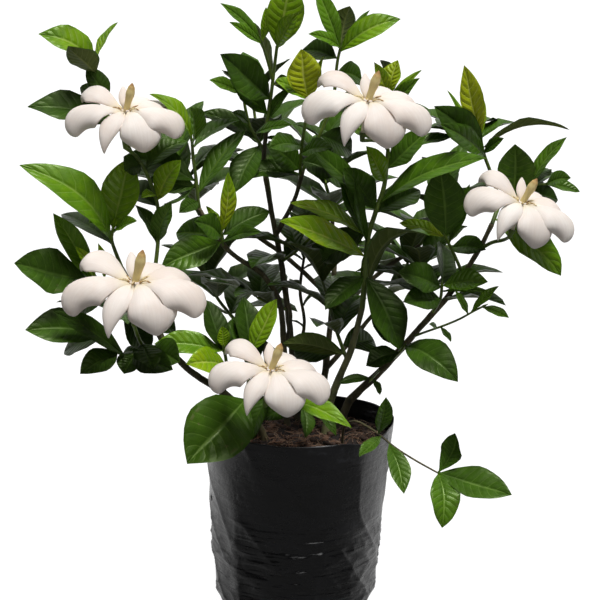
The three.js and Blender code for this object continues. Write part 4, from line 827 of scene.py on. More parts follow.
def shells_mesh(points, tones, parts, sides):
    """Points, faces, surface coordinates, tones and under-side marks of many shells with
    the same grid, from the points and the tone of each."""
    quads, tris, count = shell_faces(len(parts), len(sides))
    number = len(points)
    down, over = np.meshgrid(parts, sides / 2 + 0.5, indexing="ij")
    uv = np.stack([shell_values(over, 0.5), shell_values(down, 1.0)], -1)
    under = np.zeros(count)
    under[len(parts) * len(sides) + 1:] = 1
    return (points.reshape(-1, 3), repeated([quads, tris], number, count),
            np.tile(uv, (number, 1)), np.repeat(tones, count), np.tile(under, number))


def leaf_outline(part):
    """Half width, part of its greatest: sin(pi s^1.1)^0.85, narrowed to a wedge at the
    base and to a drawn-out point at the tip."""
    full = np.sin(np.pi * np.clip(part, 0, 1) ** 1.1) ** 0.85
    return full * (1 - 0.5 * np.exp(-part / 0.07)) * (1 - 0.4 * np.exp(-(1 - part) / 0.05))


def leaf_shells(leaves, parts, sides):
    """Fine leaves as closed shells. With chord c from base to tip, across a = upper x c:
    the midrib is base + c s + upper 4 arch s(1 - s) length, swayed sideways by
    sin(pi s)^2, the blade stands out from it by half a t, its edges rise along the
    blade's normal by fold |t| half less a little of t^2, and wave by
    sin(2 pi k s + phase) t^2. The midrib is a groove above and a rib below."""
    base, tip, hint = (np.array([leaf[key] for leaf in leaves]) for key in ("base", "tip", "hint"))
    width, arch, phase, wave, bend = (
        np.array([leaf[key] for leaf in leaves])[:, None, None, None]
        for key in ("width", "arch", "phase", "wave", "bend"))
    chord = tip - base
    length = np.linalg.norm(chord, axis=-1)[:, None, None, None]
    along = unit(chord)
    upper = square_to(hint, along)
    across = np.cross(upper, along)
    base, chord, along, upper, across = (v[:, None, None, :] for v in (base, chord, along, upper, across))
    s = parts[None, :, None, None]
    t = sides[None, None, :, None]
    half = np.maximum(width / 2 * leaf_outline(s), PETIOLE_WIDTH / 2 * (s < 0.5))
    normal = unit(upper - along * arch * 4 * (1 - 2 * s))
    sway = bend * length * np.sin(np.pi * s) ** 2
    middle = base + chord * s + upper * arch * length * 4 * s * (1 - s) + across * sway
    lift = LEAF_FOLD * half * (1.3 * np.abs(t) - 0.3 * t * t)
    edge = wave * half * t * t * np.sin(FULL_TURN * LEAF_WAVES * s + phase + 1.4 * np.sign(t))
    surface = middle + across * t * half + normal * (lift + edge * smooth_step(0.1, 0.35, s))
    rib = np.exp(-(t / 0.1) ** 2)
    stalk = 1 - smooth_step(0.02, 0.12, s)
    above = LEAF_THICKNESS / 2 * (1 - 1.6 * rib * (1 - stalk)) + 0.5 * stalk * rib
    below = LEAF_THICKNESS / 2 + (0.9 * (1 - 0.7 * s) + 0.2 * stalk) * rib
    return shell_points(surface + normal * above, surface - normal * below, tip)


def leaves_mesh(leaves, parts, sides):
    """The mesh of many leaves."""
    return shells_mesh(leaf_shells(leaves, parts, sides), [leaf["tone"] for leaf in leaves], parts, sides)


def petal_shells(petals, seed):
    """Petals as closed shells in the bloom's own frame: the midline turns from rise to
    -droop by s^bend as it goes out, the blade turns about it by twist s^2, the half width
    is sin(pi s^1.55)^0.5, less up to 0.8 point from s = 0.3 on, its edges fall
    by roll t^2 and curl under at the rim, and the blade ripples by sin(pi k s + phase)."""
    draws = np.random.default_rng(seed)
    uppers, lowers, tips = [], [], []
    s = PETAL_PARTS[:, None, None]
    t = PETAL_SIDES[None, :, None]
    marks = np.arange(PETAL_STEPS + 1) / PETAL_STEPS
    rim = np.maximum(0, np.abs(t) - PETAL_RIM) ** 2 / (1 - PETAL_RIM) ** 2
    thick = PETAL_THICKNESS / 2 * (1 + 0.8 * (1 - s) ** 3)
    for azimuth, length, width, rise, droop, bend, point, twist in petals:
        azimuth, rise, droop = (math.radians(v) for v in (azimuth, rise, droop))
        out = heading(azimuth)
        across = np.cross(UP, out)
        angle = rise - (rise + droop) * marks ** bend
        step = length / PETAL_STEPS
        reach, height = (root + np.concatenate([[0], np.cumsum(f(angle) * step)[:-1]])
                         for root, f in zip(PETAL_ROOT, (np.cos, np.sin)))
        here = [np.interp(PETAL_PARTS, marks, v)[:, None, None] for v in (reach, height, angle)]
        outline = np.sin(np.pi * s ** 1.55) ** 0.5
        outline = outline * (1 - 0.8 * point * np.maximum(0, (s - 0.3) / 0.7))
        half = np.maximum(width / 2 * outline, PETAL_WAIST * (s < 0.1))
        flat = -out * np.sin(here[2]) + UP * np.cos(here[2])
        turn = math.radians(twist) * s ** 2
        normal = flat * np.cos(turn) - across * np.sin(turn)
        across = across * np.cos(turn) + flat * np.sin(turn)
        phase = draws.uniform(0, FULL_TURN, 3)
        ripple = 0.05 * half * np.sin(np.pi * 2.4 * s + phase[0] + np.sign(t) * phase[1]) * t * t
        groove = 0.05 * half * np.exp(-(t / 0.22) ** 2) * np.sin(np.pi * s)
        curl = 0.12 * half * rim
        fall = -PETAL_ROLL * half * t * t * (0.9 + 0.2 * np.sin(phase[2] + 2 * s)) - groove - curl
        middle = out * here[0] + UP * here[1]
        surface = middle + across * t * half * (1 - 0.06 * rim) + normal * (fall + ripple)
        uppers.append(surface + normal * thick)
        lowers.append(surface - normal * thick)
        tips.append(out * reach[-1] + UP * height[-1])
    return shell_points(np.array(uppers), np.array(lowers), np.array(tips))


# Leaves and shoots ------------------------------------------------------------------

def corner_points(node):
    """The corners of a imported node, in mm."""
    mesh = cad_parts[node].data
    places = np.zeros(len(mesh.vertices) * 3, np.float32)
    mesh.vertices.foreach_get("co", places)
    return places.reshape(-1, 3) * METRE


def found_tip(candidates, corners):
    """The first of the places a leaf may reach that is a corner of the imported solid."""
    for candidate in candidates:
        if np.linalg.norm(corners - candidate, axis=1).min() < TIP_FOUND_WITHIN:
            return candidate
    return None


def leaf_base(points, radii, part, tip):
    """The root of a leaf: off the stem's axis by part of its radius, towards the tip."""
    length = on_path(points, 0)[2]
    centre, tangent, _ = on_path(points, min(part, 1 - END_ROOT / length))
    outward = square_to(tip - centre, tangent)
    return (centre + outward * PETIOLE_ROOT * np.interp(part, [0, 1], radii))[0]


def seen_leaf(points, radii, row, corners):
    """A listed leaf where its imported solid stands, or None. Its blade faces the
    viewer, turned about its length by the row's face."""
    part, across, down, depth, width, face, arch = row[:7]
    tip = found_tip(seen([[across, down, depth + bend] for bend in BEND_STEPS]), corners)
    if tip is None:
        return None
    base = leaf_base(points, radii, part, tip)
    along = unit(tip - base)
    facing = square_to(VIEWER - base, along)
    side = np.cross(facing, along)
    if side[2] + 0.2 * side[0] < 0:
        side = -side
    hint = facing * math.cos(math.radians(face)) + side * math.sin(math.radians(face))
    leaf = {"base": base, "tip": tip, "hint": hint, "width": width, "arch": arch}
    if len(row) > 7:
        leaf["tone"] = row[7]
    return leaf


def level_leaf(points, radii, part, tip, width):
    """A leaf from part of a stem's length to its tip, whose blade faces up."""
    return {"base": leaf_base(points, radii, part, tip), "tip": tip, "hint": UP, "width": width,
            "arch": WHORL_ARCH}


def whorl_leaves(points, radii, whorls, corners):
    """The leaves of a shoot's whorls, each with its seeded jitter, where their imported
    solids stand."""
    numbers = number_source(WHORL_SEED)
    found = []
    for part, count, length, width, lift, azimuth in whorls:
        for index in range(count):
            turn = azimuth + 360 * index / count
            turn += WHORL_JITTER["azimuth"] * (2 * next(numbers) - 1)
            rise = math.radians(lift + WHORL_JITTER["lift"] * (2 * next(numbers) - 1))
            reach = length * (1 + WHORL_JITTER["length"] * (2 * next(numbers) - 1))
            directions = heading(np.radians(turn + np.array(TURN_STEPS)), rise)
            tip = found_tip(on_path(points, part)[0] + directions * reach, corners)
            if tip is not None:
                found.append(level_leaf(points, radii, part, tip, width))
    return found


def with_character(leaves, seed, tone):
    """Gives each leaf its own wave, sway and tone from a seeded source."""
    draws = np.random.default_rng(seed)
    for leaf in leaves:
        leaf["phase"] = draws.uniform(0, FULL_TURN)
        leaf["wave"] = draws.uniform(*LEAF_WAVE)
        leaf["bend"] = draws.uniform(-LEAF_SWAY, LEAF_SWAY)
        leaf["tone"] = np.clip(leaf.get("tone", tone) + draws.uniform(-TONE_JITTER, TONE_JITTER), 0, 1)
    return leaves


def bloom_axis(bloom):
    """A bloom's axis from its lean to the right and towards the viewer."""
    lean, tip = math.radians(bloom["lean"]), math.radians(bloom["tip"])
    return unit(np.array([math.sin(lean), -math.sin(tip), math.cos(lean) * math.cos(tip)]))


def on_bloom_axis(bloom, height):
    """The point on a bloom's axis at a height above its place."""
    return seen(bloom["place"]) + bloom_axis(bloom) * height


def calyx_top(bloom):
    """The height on a bloom's axis where its calyx ends, a gap under its tube."""
    return COROLLA_TUBE[0][0] * bloom["size"] - GAP


def calyx_mesh(bloom, stem_radius):
    """The calyx: the stem's end widened to under the bloom's tube."""
    top = calyx_top(bloom)
    ends = [on_bloom_axis(bloom, top - CALYX["length"] * part) for part in (1, 0.5, 0)]
    return tube(ends, [stem_radius, CALYX["radius"]], **CALYX_TUBE)


def bud_mesh(points):
    """The pointed bud at a shoot's end."""
    along = unit(points[-1] - points[-2])
    return tube(points[-1] + along * np.array(BUD_ENDS), BUD_RADII, **BUD_TUBE)


def shoot_path(shoot, bloom):
    """A shoot's polyline, carried on to the calyx of the bloom that it bears."""
    points = seen(shoot["path"])
    if bloom:
        height = calyx_top(bloom) - CALYX["length"] + CALYX["overlap"]
        points = np.concatenate([points, [on_bloom_axis(bloom, height)]])
    return points


def dress_shoot(number, name, shoot):
    """One leafy shoot: a green stem with its leaves, and a terminal bud or calyx."""
    bloom = next((bloom for bloom in BLOOMS.values() if bloom["shoot"] == name), None)
    points = shoot_path(shoot, bloom)
    radii = shoot.get("radii", SHOOT_RADII)
    corners = corner_points(name)
    # Inner and back shoots take the darker shaded tone: painted shade.
    tone = SHADED_TONE if "inner" in name or "back" in name else LIT_TONE
    fine = [seen_leaf(points, radii, row, corners) for row in shoot.get("leaves", [])]
    fine = [leaf for leaf in fine if leaf is not None]
    plain = whorl_leaves(points, radii, shoot.get("whorls", []), corners)
    with_character(fine + plain, LEAF_DRAWS["shoots"] + number, tone)
    thinned = [radius * THINNER.get(name, 1.0) for radius in radii]
    parts = [(*tube(points, thinned, seed=number, **GREEN_TUBE), tone, 0.0)]
    if bloom:
        parts.append((*calyx_mesh(bloom, radii[1]), tone, 0.0))
    else:
        parts.append((*bud_mesh(points), tone + BUD_TONE, 0.0))
    stems = len(parts)
    if fine:
        parts.append(leaves_mesh(fine, HERO_ROWS, HERO_SIDES))
    if plain:
        parts.append(leaves_mesh(plain, PLAIN_ROWS, PLAIN_SIDES))
    points, faces, uv, tones, under, owner = joined(parts)
    stem = BARK if name in THINNER else GREEN_STEM
    piece = new_piece(name + "_fine", points, faces, [stem, LEAF], [name],
                      (owner >= stems).astype(int), uv, tones, under)
    piece.data.set_sharp_from_angle(angle=math.radians(70))


def dress_woody_stem(number, name, branches):
    """A woody stem with its branches."""
    parts = []
    for index, branch in enumerate(branches):
        mesh = tube(seen(branch["path"]), branch["radii"], seed=10 * number + index, **WOODY_TUBE)
        parts.append((*mesh, 0.0, 0.0))
    points, faces, uv, _, _, _ = joined(parts)
    bark = KHAKI_BARK if name in KHAKI_STEMS else BARK
    new_piece(name + "_fine", points, faces, [bark], [name], uv=uv)


def dress_twig():
    """The small dark leaves on a thin twig inside the plant, dark by the shaded tone: painted shade."""
    name, number = TWIG
    branch = WOODY_STEMS[name][number]
    points = seen(branch["path"])
    leaves = []
    for part, azimuth, lift, length, width in TWIG_LEAVES:
        reach = heading(math.radians(azimuth), math.radians(lift)) * length
        tip = on_path(points, part)[0][0] + reach
        leaves.append(level_leaf(points, branch["radii"], part, tip, width))
    with_character(leaves, LEAF_DRAWS["twig"], SHADED_TONE)
    points, faces, uv, tones, under = leaves_mesh(leaves, PLAIN_ROWS, PLAIN_SIDES)
    new_piece("twig_leaves", points, faces, [LEAF], (), None, uv, tones, under)


# Blooms ------------------------------------------------------------------------------

def placed_on(bloom, points):
    """Points of the bloom's own frame, +Z along its axis, on the plant."""
    turn = Vector((0, 0, 1)).rotation_difference(Vector(bloom_axis(bloom))).to_matrix()
    return points @ np.array(turn).T * bloom["size"] + seen(bloom["place"])


def stamen_mesh(index):
    """One narrow stamen that lies out over the throat between two petals."""
    out = heading(math.radians(360 * index / STAMENS + STAMEN_TURN))
    return tube([out * reach + UP * height for reach, height in STAMEN_PATH], STAMEN_RADII, **STAMEN_TUBE)


def dress_bloom(number, name, bloom):
    """A bloom: eight waxy petals on a tube, and stamens at its throat."""
    tones = np.random.default_rng(number).uniform(0, 1, len(PETALS))
    petals = shells_mesh(petal_shells(PETALS, number), tones, PETAL_PARTS, PETAL_SIDES)
    tube_part = (*turned(COROLLA_TUBE, 24, 20), 0.5, 0.0)
    stamens = [(*stamen_mesh(index), 0.5, 0.0) for index in range(STAMENS)]
    points, faces, uv, tone, under, owner = joined([petals, tube_part, *stamens])
    new_piece(name + "_fine", placed_on(bloom, points), faces, [PETAL, STAMEN], [name],
              (owner > 1).astype(int), uv, tone, under)


def dress_style(name, bloom):
    """The club-shaped style in the throat, ribbed by depth cos(count azimuth), and leaning
    to the right."""
    points, faces, uv = turned(STYLE, 30, 36)
    ribs = STYLE_RIBS["depth"] * np.cos(STYLE_RIBS["count"] * np.arctan2(points[:, 1], points[:, 0]))
    ribs = 1 + ribs * smooth_step(STYLE_RIBS["from"], STYLE_RIBS["full"], points[:, 2])
    x, y, z = points[:, 0] * ribs, points[:, 1] * ribs, points[:, 2]
    cos, sin = math.cos(math.radians(STYLE_LEAN)), math.sin(math.radians(STYLE_LEAN))
    leaning = np.stack([x * cos + z * sin, y, z * cos - x * sin], -1)
    new_piece(name + "_fine", placed_on(bloom, leaning), faces, [STYLE_SKIN], [name], uv=uv)


# The grow bag and its mix --------------------------------------------------------------

def bag_radius(height, azimuth):
    """The bag's radius: its profile, pushed out in soft lobes that fade at the foot."""
    parts, heights = zip(*BAG_PROFILE)
    lobes = BAG_LOBES["amount"] * np.minimum(1, height / BAG_LOBES["full_height"]) * np.cos(
        BAG_LOBES["count"] * (azimuth - math.radians(BAG_LOBES["azimuth"])))
    return BAG_RADIUS * (np.interp(height, heights, parts) + lobes)


def bag_places(radius, azimuth, height, z):
    """Points round the bag's axis, moved sideways by how far the bag leans at a height."""
    lean = BAG_LEAN * (1 - height / BAG_HEIGHT)
    return np.stack([radius * np.cos(azimuth) + lean, radius * np.sin(azimuth), z], -1)


def rim_dip(azimuth):
    """How far the rim is pressed down: depth exp(-(angle / spread)^2)."""
    turn = nearest_turn(azimuth - math.radians(RIM_DIP["azimuth"])) / math.radians(RIM_DIP["spread"])
    return RIM_DIP["depth"] * np.exp(-turn * turn)


def film_wrinkles(azimuth, height):
    """How far the film stands out of its smooth form, in mm: level creases, 1 - |noise|
    sharpened, gathered low down, long slanting folds, and a soft swell."""
    around = heading(azimuth)[..., :2]

    def field(across, up, slant, seed):
        """Noise whose cells are 1 / across wide and up mm high, slanted as it goes round."""
        height_part = height / up + slant * azimuth
        return noise(np.concatenate([around * across, height_part[..., None]], -1), seed)

    level = 1.1 - smooth_step(*WRINKLES_LOW, height)
    creases = 1.5 * ridges(field(2.4, 10, 0.8, 3)) + 0.7 * ridges(field(4.0, 8, -1.1, 4))
    slanting = ridges(field(2.0, 45, 2.2, 5))
    return level * creases + 1.6 * slanting + 0.8 * field(1.6, 60, 0.0, 6) - 1.4


def dress_bag():
    """The film: its form from floor to rim with wrinkles, punched holes, and a wall put
    on by Solidify, so that the holes' edges close."""
    levels = np.concatenate([[0.0], np.linspace(FILM_FOOT, BAG_HEIGHT, FILM_LEVELS)])
    turn, height = np.meshgrid(round_turn(FILM_COLUMNS), levels)
    out = film_wrinkles(turn, height) * smooth_step(*WRINKLES_FROM, height)
    out = out * (1 - 0.6 * smooth_step(*TAUT, height))
    around = heading(turn)[..., :2] * RIM_RAGGED["cells"]
    ragged = RIM_RAGGED["height"] * noise(around, RIM_RAGGED["seed"])
    z = height + smooth_step(*RIM, height) * (ragged - rim_dip(turn))
    points = bag_places(bag_radius(height, turn) + out, turn, height, z).reshape(-1, 3)
    quads, foot, _ = ring_faces(*turn.shape)
    middle_turn = turn[:-1] + math.pi / FILM_COLUMNS
    middle_height = (height[:-1] + height[1:]) / 2
    keep = np.ones(middle_turn.shape, bool)
    for hole_turn, hole_height, diameter in PUNCHED_HOLES:
        away = nearest_turn(middle_turn - math.radians(hole_turn))
        sideways = away * bag_radius(middle_height, middle_turn)
        keep &= np.hypot(sideways, middle_height - hole_height) > diameter / 2
    piece = new_piece("grow_bag_film", np.concatenate([points, [[BAG_LEAN, 0, 0]]]),
                      [quads[keep.ravel()], foot], [FILM], ["grow_bag"])
    wall = piece.modifiers.new("wall", "SOLIDIFY")
    wall.thickness = FILM_THICKNESS / METRE
    wall.offset = -1


def soil_radius(azimuth):
    """How far the mix reaches from the axis at its top, inside the film."""
    return bag_radius(np.full(np.shape(azimuth), float(SOIL_HEIGHT)), azimuth) - SOIL_INSET


def soil_height(x, y):
    """The mix's surface: a level top with lumps of four sizes, heaped to its middle."""
    at = np.stack([x, y], -1)
    lumps = sum(high * noise(at / apart, SOIL_SEED + k) for k, (high, apart) in enumerate(LUMPS))
    coarse, fine = (high * noise(at / apart, SOIL_SEED + 2 + k) for k, (high, apart) in enumerate(CRUMBS))
    edge = np.hypot(x, y) / soil_radius(np.arctan2(y, x))
    return SOIL_HEIGHT + (lumps + np.abs(coarse) + fine) * (1 - 0.6 * edge ** 4) - 1.0 - 2.0 * edge ** 6


def dress_soil():
    """The mix: a lumpy top on rings closed below by a floor, inside the film."""
    turn = round_turn(SOIL_SIDES)
    around, part = np.meshgrid(turn, np.linspace(0, 1, SOIL_RINGS + 1)[1:])
    x, y = (part * soil_radius(around) * f(around) for f in (np.cos, np.sin))
    rings = [*np.stack([x, y, soil_height(x, y)], -1)]
    for height in SOIL_LEVELS:
        inset = SOIL_INSET if height > SOIL_FOOT["height"] else SOIL_FOOT["inset"]
        heights = np.full(SOIL_SIDES, float(height))
        rings.append(bag_places(bag_radius(heights, turn) - inset, turn, heights, heights))
    middle = [0, 0, float(soil_height(np.array(0.0), np.array(0.0)))]
    points = np.concatenate([*rings, [middle, [BAG_LEAN, 0, SOIL_FOOT["height"]]]])
    quads, start, end = ring_faces(len(rings), SOIL_SIDES)
    fans = np.concatenate([start, end])
    new_piece("potting_mix_fine", points, [quads[:, [0, 3, 2, 1]], fans[:, [1, 0, 2]]], [MIX],
              ["potting_mix"])


def scattered(draws, count, spread):
    """Even random places on the mix's surface within part of its radius."""
    turn = draws.uniform(0, FULL_TURN, count)
    radius = soil_radius(turn) * spread * np.sqrt(draws.uniform(0, 1, count))
    x, y = radius * np.cos(turn), radius * np.sin(turn)
    return np.stack([x, y, soil_height(x, y)], -1)


def dress_fibres():
    """Coir fibres strewn on the mix: each a thin bent strand in a three-sided tube, whose
    heading turns evenly along it, humped off the ground by 1 - 4 part^2."""
    draws = np.random.default_rng(SOIL_SEED)
    count, rings, sides = FIBRES["count"], FIBRES["rings"], FIBRES["sides"]
    place = scattered(draws, count, FIBRES["spread"])
    facing = draws.uniform(0, FULL_TURN, count)
    length = draws.uniform(*FIBRES["length"], count)
    curl = draws.normal(0, FIBRES["bend"], count)
    lift = draws.uniform(*FIBRES["lift"], count)
    part = np.linspace(-0.5, 0.5, rings)
    along = heading(facing[:, None] + curl[:, None] * part)
    step = along * (length / rings)[:, None, None]
    centre = place[:, None] + np.cumsum(step, 1) - step.sum(1, keepdims=True) / 2
    radius = np.hypot(centre[..., 0], centre[..., 1])
    edge = 0.97 * soil_radius(np.arctan2(centre[..., 1], centre[..., 0]))
    centre[..., :2] *= np.minimum(1, edge / np.maximum(radius, 1e-6))[..., None]
    ground = soil_height(centre[..., 0], centre[..., 1])
    centre[..., 2] = ground * 0.6 + place[:, None, 2] * 0.4 + 0.3
    centre[..., 2] += lift[:, None] * (1 - 4 * part ** 2) * (0.3 + 0.7 * (curl[:, None] > 0))
    thick = draws.uniform(*FIBRES["radius"], count)[:, None, None, None]
    thick = thick * (1 - 0.7 * np.abs(2 * part) ** 3)[None, :, None, None]
    turn = round_turn(sides)[:, None]
    ring = centre[:, :, None] + (np.cross(UP, along)[:, :, None] * np.cos(turn) + UP * np.sin(turn)) * thick
    caps = np.array([[2, 1, 0], np.arange(sides) + (rings - 1) * sides])
    tone = np.repeat(draws.uniform(0, 1, count), rings * sides)
    new_piece("coir_fibres", ring.reshape(-1, 3),
              repeated([ring_faces(rings, sides)[0], caps], count, rings * sides),
              [FIBRE], tone=tone)


def dress_chips():
    """Bark chips on the mix: each a squashed eight-cornered block with uneven corners."""
    draws = np.random.default_rng(SOIL_SEED + 7)
    count = CHIPS["count"]
    corners = np.array([[x, y, z] for z in (-1, 1) for y in (-1, 1) for x in (-1, 1)], float)
    size = draws.uniform(*CHIPS["half"], (count, 1, 1)) * np.array(CHIPS["shape"])
    block = corners * size * draws.uniform(*CHIPS["uneven"], (count, 8, 3))
    turn = draws.uniform(0, FULL_TURN, count)[:, None]
    tilt = draws.uniform(-CHIPS["tilt"], CHIPS["tilt"], count)[:, None]
    x, y, z = np.moveaxis(block, -1, 0)
    x, z = x * np.cos(tilt) + z * np.sin(tilt), z * np.cos(tilt) - x * np.sin(tilt)
    cos, sin = np.cos(turn), np.sin(turn)
    block = np.stack([x * cos - y * sin, x * sin + y * cos, z], -1)
    block = block + scattered(draws, count, CHIPS["spread"])[:, None] + UP * CHIPS["above"]
    quads = np.array([[0, 2, 3, 1], [4, 5, 7, 6], [0, 1, 5, 4], [2, 6, 7, 3], [0, 4, 6, 2],
                      [1, 3, 7, 5]])
    tone = np.repeat(draws.uniform(0, 1, count), 8)
    new_piece("bark_chips", block.reshape(-1, 3), repeated([quads], count, 8), [CHIP],
              tone=tone)


# Materials ------------------------------------------------------------------------------

class Graph:
    """Builds the nodes of one material, group or surround."""

    def __init__(self, tree):
        """Takes the node tree to build in."""
        self.tree = tree

    def give(self, socket, value):
        """Links a socket to an input, or sets the input to a value or a named colour."""
        if isinstance(value, bpy.types.NodeSocket):
            self.tree.links.new(value, socket)
        else:
            socket.default_value = colour_of(value) if isinstance(value, str) else value

    def add(self, kind, inputs=None, **settings):
        """A node with its settings and inputs."""
        node = self.tree.nodes.new(kind)
        for key, value in settings.items():
            setattr(node, key, value)
        for key, value in (inputs or {}).items():
            self.give(node.inputs[key], value)
        return node

    def math(self, operation, *values):
        """A Math node's value."""
        return self.add("ShaderNodeMath", dict(enumerate(values)), operation=operation).outputs[0]

    def times(self, first, *others):
        """Values multiplied."""
        for other in others:
            first = self.math("MULTIPLY", first, other)
        return first

    def scaled(self, value, gain, base):
        """A value times gain, plus base."""
        return self.math("MULTIPLY_ADD", value, gain, base)

    def sum_of(self, *weighed):
        """The sum of values, each times its weight, from (value, weight) pairs."""
        total = 0.0
        for value, weight in weighed:
            total = self.scaled(value, weight, total)
        return total

    def swing(self, value, amount, base=0.0):
        """base, moved up and down by amount as a value goes about a half."""
        return self.scaled(self.math("SUBTRACT", value, 0.5), amount, base)

    def mask(self, value, low, high):
        """0 at low to 1 at high, smoothly."""
        inputs = {"Value": value, "From Min": low, "From Max": high}
        return self.add("ShaderNodeMapRange", inputs, interpolation_type="SMOOTHSTEP").outputs["Result"]

    def fade(self, value, low, high):
        """1 at low to 0 at high, smoothly."""
        return self.math("SUBTRACT", 1.0, self.mask(value, low, high))

    def ramp(self, factor, *stops):
        """A colour from (place, colour) stops."""
        node = self.add("ShaderNodeValToRGB", {"Fac": factor})
        node.color_ramp.interpolation = "EASE"
        elements = node.color_ramp.elements
        for index, (place, colour) in enumerate(stops):
            element = elements[index] if index < 2 else elements.new(place)
            element.position = place
            element.color = colour_of(colour)
        return node.outputs["Color"]

    def blend(self, factor, a, b):
        """Two colours mixed."""
        return self.add("ShaderNodeMix", {0: factor, 6: a, 7: b}, data_type="RGBA").outputs[2]

    def noise(self, vector, scale, detail, roughness=0.55):
        """A noise pattern's value."""
        inputs = {"Vector": vector, "Scale": scale, "Detail": detail, "Roughness": roughness}
        return self.add("ShaderNodeTexNoise", inputs).outputs["Fac"]

    def stretched(self, vector, scale):
        """A place scaled differently along each axis."""
        return self.add("ShaderNodeMapping", {"Vector": vector, "Scale": scale}).outputs[0]

    def axes(self, vector):
        """A vector's three parts."""
        return self.add("ShaderNodeSeparateXYZ", {0: vector}).outputs

    def bump(self, height, strength, distance):
        """A normal turned by a height in metres times distance."""
        inputs = {"Height": height, "Strength": strength, "Distance": distance}
        return self.add("ShaderNodeBump", inputs).outputs["Normal"]


class Skin(Graph):
    """A material's graph, with its Principled shader and its places in the object."""

    def __init__(self, name):
        """Makes the material of that name."""
        self.material = bpy.data.materials.new(name)
        self.material.use_nodes = True
        super().__init__(self.material.node_tree)
        self.shader = self.tree.nodes["Principled BSDF"]
        self.places = self.add("ShaderNodeTexCoord").outputs["Object"]

    def grain(self, scale, detail, roughness=0.55):
        """A noise pattern in the object, with one scale or one for each axis."""
        if isinstance(scale, tuple):
            return self.noise(self.stretched(self.places, scale), 1.0, detail, roughness)
        return self.noise(self.places, scale, detail, roughness)

    def blotches(self, scale, places=None):
        """The blotch group's amount."""
        inputs = {"Place": places or self.places, "Scale": scale}
        return self.add("ShaderNodeGroup", inputs, node_tree=BLOTCHES).outputs["Amount"]

    def cells(self, scale, feature, places=None):
        """How far a place is from the middle or the edge of its cell."""
        inputs = {"Vector": places or self.places, "Scale": scale}
        return self.add("ShaderNodeTexVoronoi", inputs, feature=feature).outputs["Distance"]

    def surface(self):
        """The surface coordinates of the mesh."""
        return self.add("ShaderNodeUVMap", uv_map="surface").outputs[0]

    def blade(self):
        """How far a place on a blade is from its midline, 0 to 1, and how far down it."""
        over, down, _ = self.axes(self.surface())
        return self.math("ABSOLUTE", self.scaled(over, 2.0, -1.0)), down

    def mark(self, name):
        """The value that the mesh's points carry under a name."""
        return self.add("ShaderNodeAttribute", attribute_name=name).outputs["Fac"]

    def shaded(self, **sockets):
        """The material, with its shader's inputs given by name."""
        for key, value in sockets.items():
            self.give(self.shader.inputs[key.replace("_", " ")], value)
        return self.material


def colour_of(hexadecimal):
    """A linear colour from a hexadecimal sRGB string."""
    values = [int(hexadecimal[k:k + 2], 16) / 255 for k in (0, 2, 4)]
    return (*(v / 12.92 if v <= 0.04045 else ((v + 0.055) / 1.055) ** 2.4 for v in values), 1.0)


def blotch_group():
    """A group: how blotched a surface is at a place, from two sizes of noise, 0 to 1."""
    tree = bpy.data.node_groups.new("blotches", "ShaderNodeTree")
    tree.interface.new_socket("Place", in_out="INPUT", socket_type="NodeSocketVector")
    tree.interface.new_socket("Scale", in_out="INPUT", socket_type="NodeSocketFloat")
    tree.interface.new_socket("Amount", in_out="OUTPUT", socket_type="NodeSocketFloat")
    graph = Graph(tree)
    place, scale = graph.add("NodeGroupInput").outputs[:2]
    broad = graph.noise(place, scale, 2.0)
    close = graph.noise(place, graph.times(scale, 5.0), 4.0)
    mixed = graph.sum_of((broad, 0.65), (close, 0.35))
    graph.add("NodeGroupOutput", {"Amount": graph.mask(mixed, 0.36, 0.64)})
    return tree


BLOTCHES = blotch_group()


